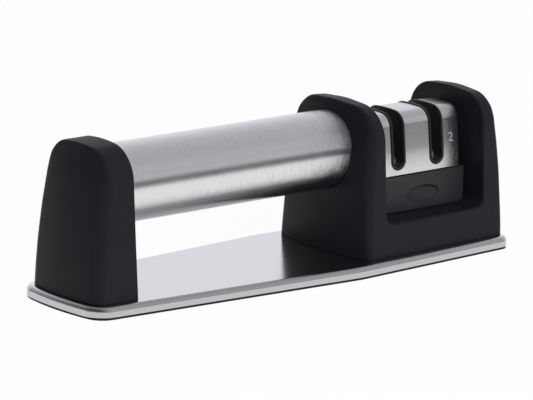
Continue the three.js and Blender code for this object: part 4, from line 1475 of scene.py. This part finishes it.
# %% Room
FRONT_WALL = [(0, 0.13), (0.56, 0.13), (0.58, 0.72), (0.62, 0.7), (0.66, 0.48), (0.76, 0.6), (0.86, 0.46)]
BACK_WALL = [(0.0, 0.9), (0.5, 0.95), (0.62, 0.95), (0.75, 0.8), (0.87, 0.54), (0.92, 0.45)]
WALL_TURN = 0.2
DIM_SIDE = 0.15
DIM_REACH = -0.6
ROOM_TINT = (0.965, 0.965, 1.02, 1)

world = bpy.data.worlds.new("white_room")
scene.world = world
world.use_nodes = True
room = Finish("white_room", world.node_tree)
direction = room.node("ShaderNodeTexCoord", output="Generated")
sideways = room.node("ShaderNodeSeparateXYZ", {}, {0: direction}, "X")
backwards = room.node("ShaderNodeSeparateXYZ", {}, {0: direction}, "Y")
upwards = room.node("ShaderNodeSeparateXYZ", {}, {0: direction}, "Z")
height = upwards * 0.5 + 0.5
front_wall = room.node("ShaderNodeValToRGB", {"stops": FRONT_WALL}, {"Fac": height})
back_wall = room.node("ShaderNodeValToRGB", {"stops": BACK_WALL}, {"Fac": height})
behind = room.ramp(backwards, -WALL_TURN, WALL_TURN, 0.0, 1.0)
lit_side = room.ramp(sideways, DIM_REACH, 0.0, DIM_SIDE, 1.0)
walls = room.mix(behind, front_wall, back_wall)
walls = room.mix(1.0, walls, lit_side, "MULTIPLY")
walls = room.mix(1.0, walls, ROOM_TINT, "MULTIPLY")
camera_ray = room.node("ShaderNodeLightPath", output="Is Camera Ray")
seen = room.mix(camera_ray, walls, WHITE)
room.feed(world.node_tree.nodes["Background"], {"Color": seen, "Strength": 1.0})
print("room nodes:", len(world.node_tree.nodes))

# %% [markdown]
# One large soft lamp in front lights the plastics. The steel doesn't show it, because its reflection would
# be a bright patch, and under a tent of white cloth there is none.

# %% Lamp
SOFTBOX_PLACE = (-0.2, -1.0, 0.55)
SOFTBOX_AIM = (0, 0, 0.03)
SOFTBOX_WIDTH = 0.9
SOFTBOX_HEIGHT = 0.6
SOFTBOX_POWER = 12

bpy.ops.object.light_add(type="AREA", location=SOFTBOX_PLACE)
softbox = bpy.context.object
softbox.name = "softbox"
softbox.data.shape = "RECTANGLE"
softbox.data.size = SOFTBOX_WIDTH
softbox.data.size_y = SOFTBOX_HEIGHT
softbox.data.energy = SOFTBOX_POWER
softbox.rotation_mode = "QUATERNION"
aim = Vector(SOFTBOX_AIM) - Vector(SOFTBOX_PLACE)
softbox.rotation_quaternion = aim.to_track_quat("-Z", "Y")
softbox.visible_glossy = False
scene.view_settings.view_transform = "Standard"
print("lamp distance:", round(aim.length, 2), "m")
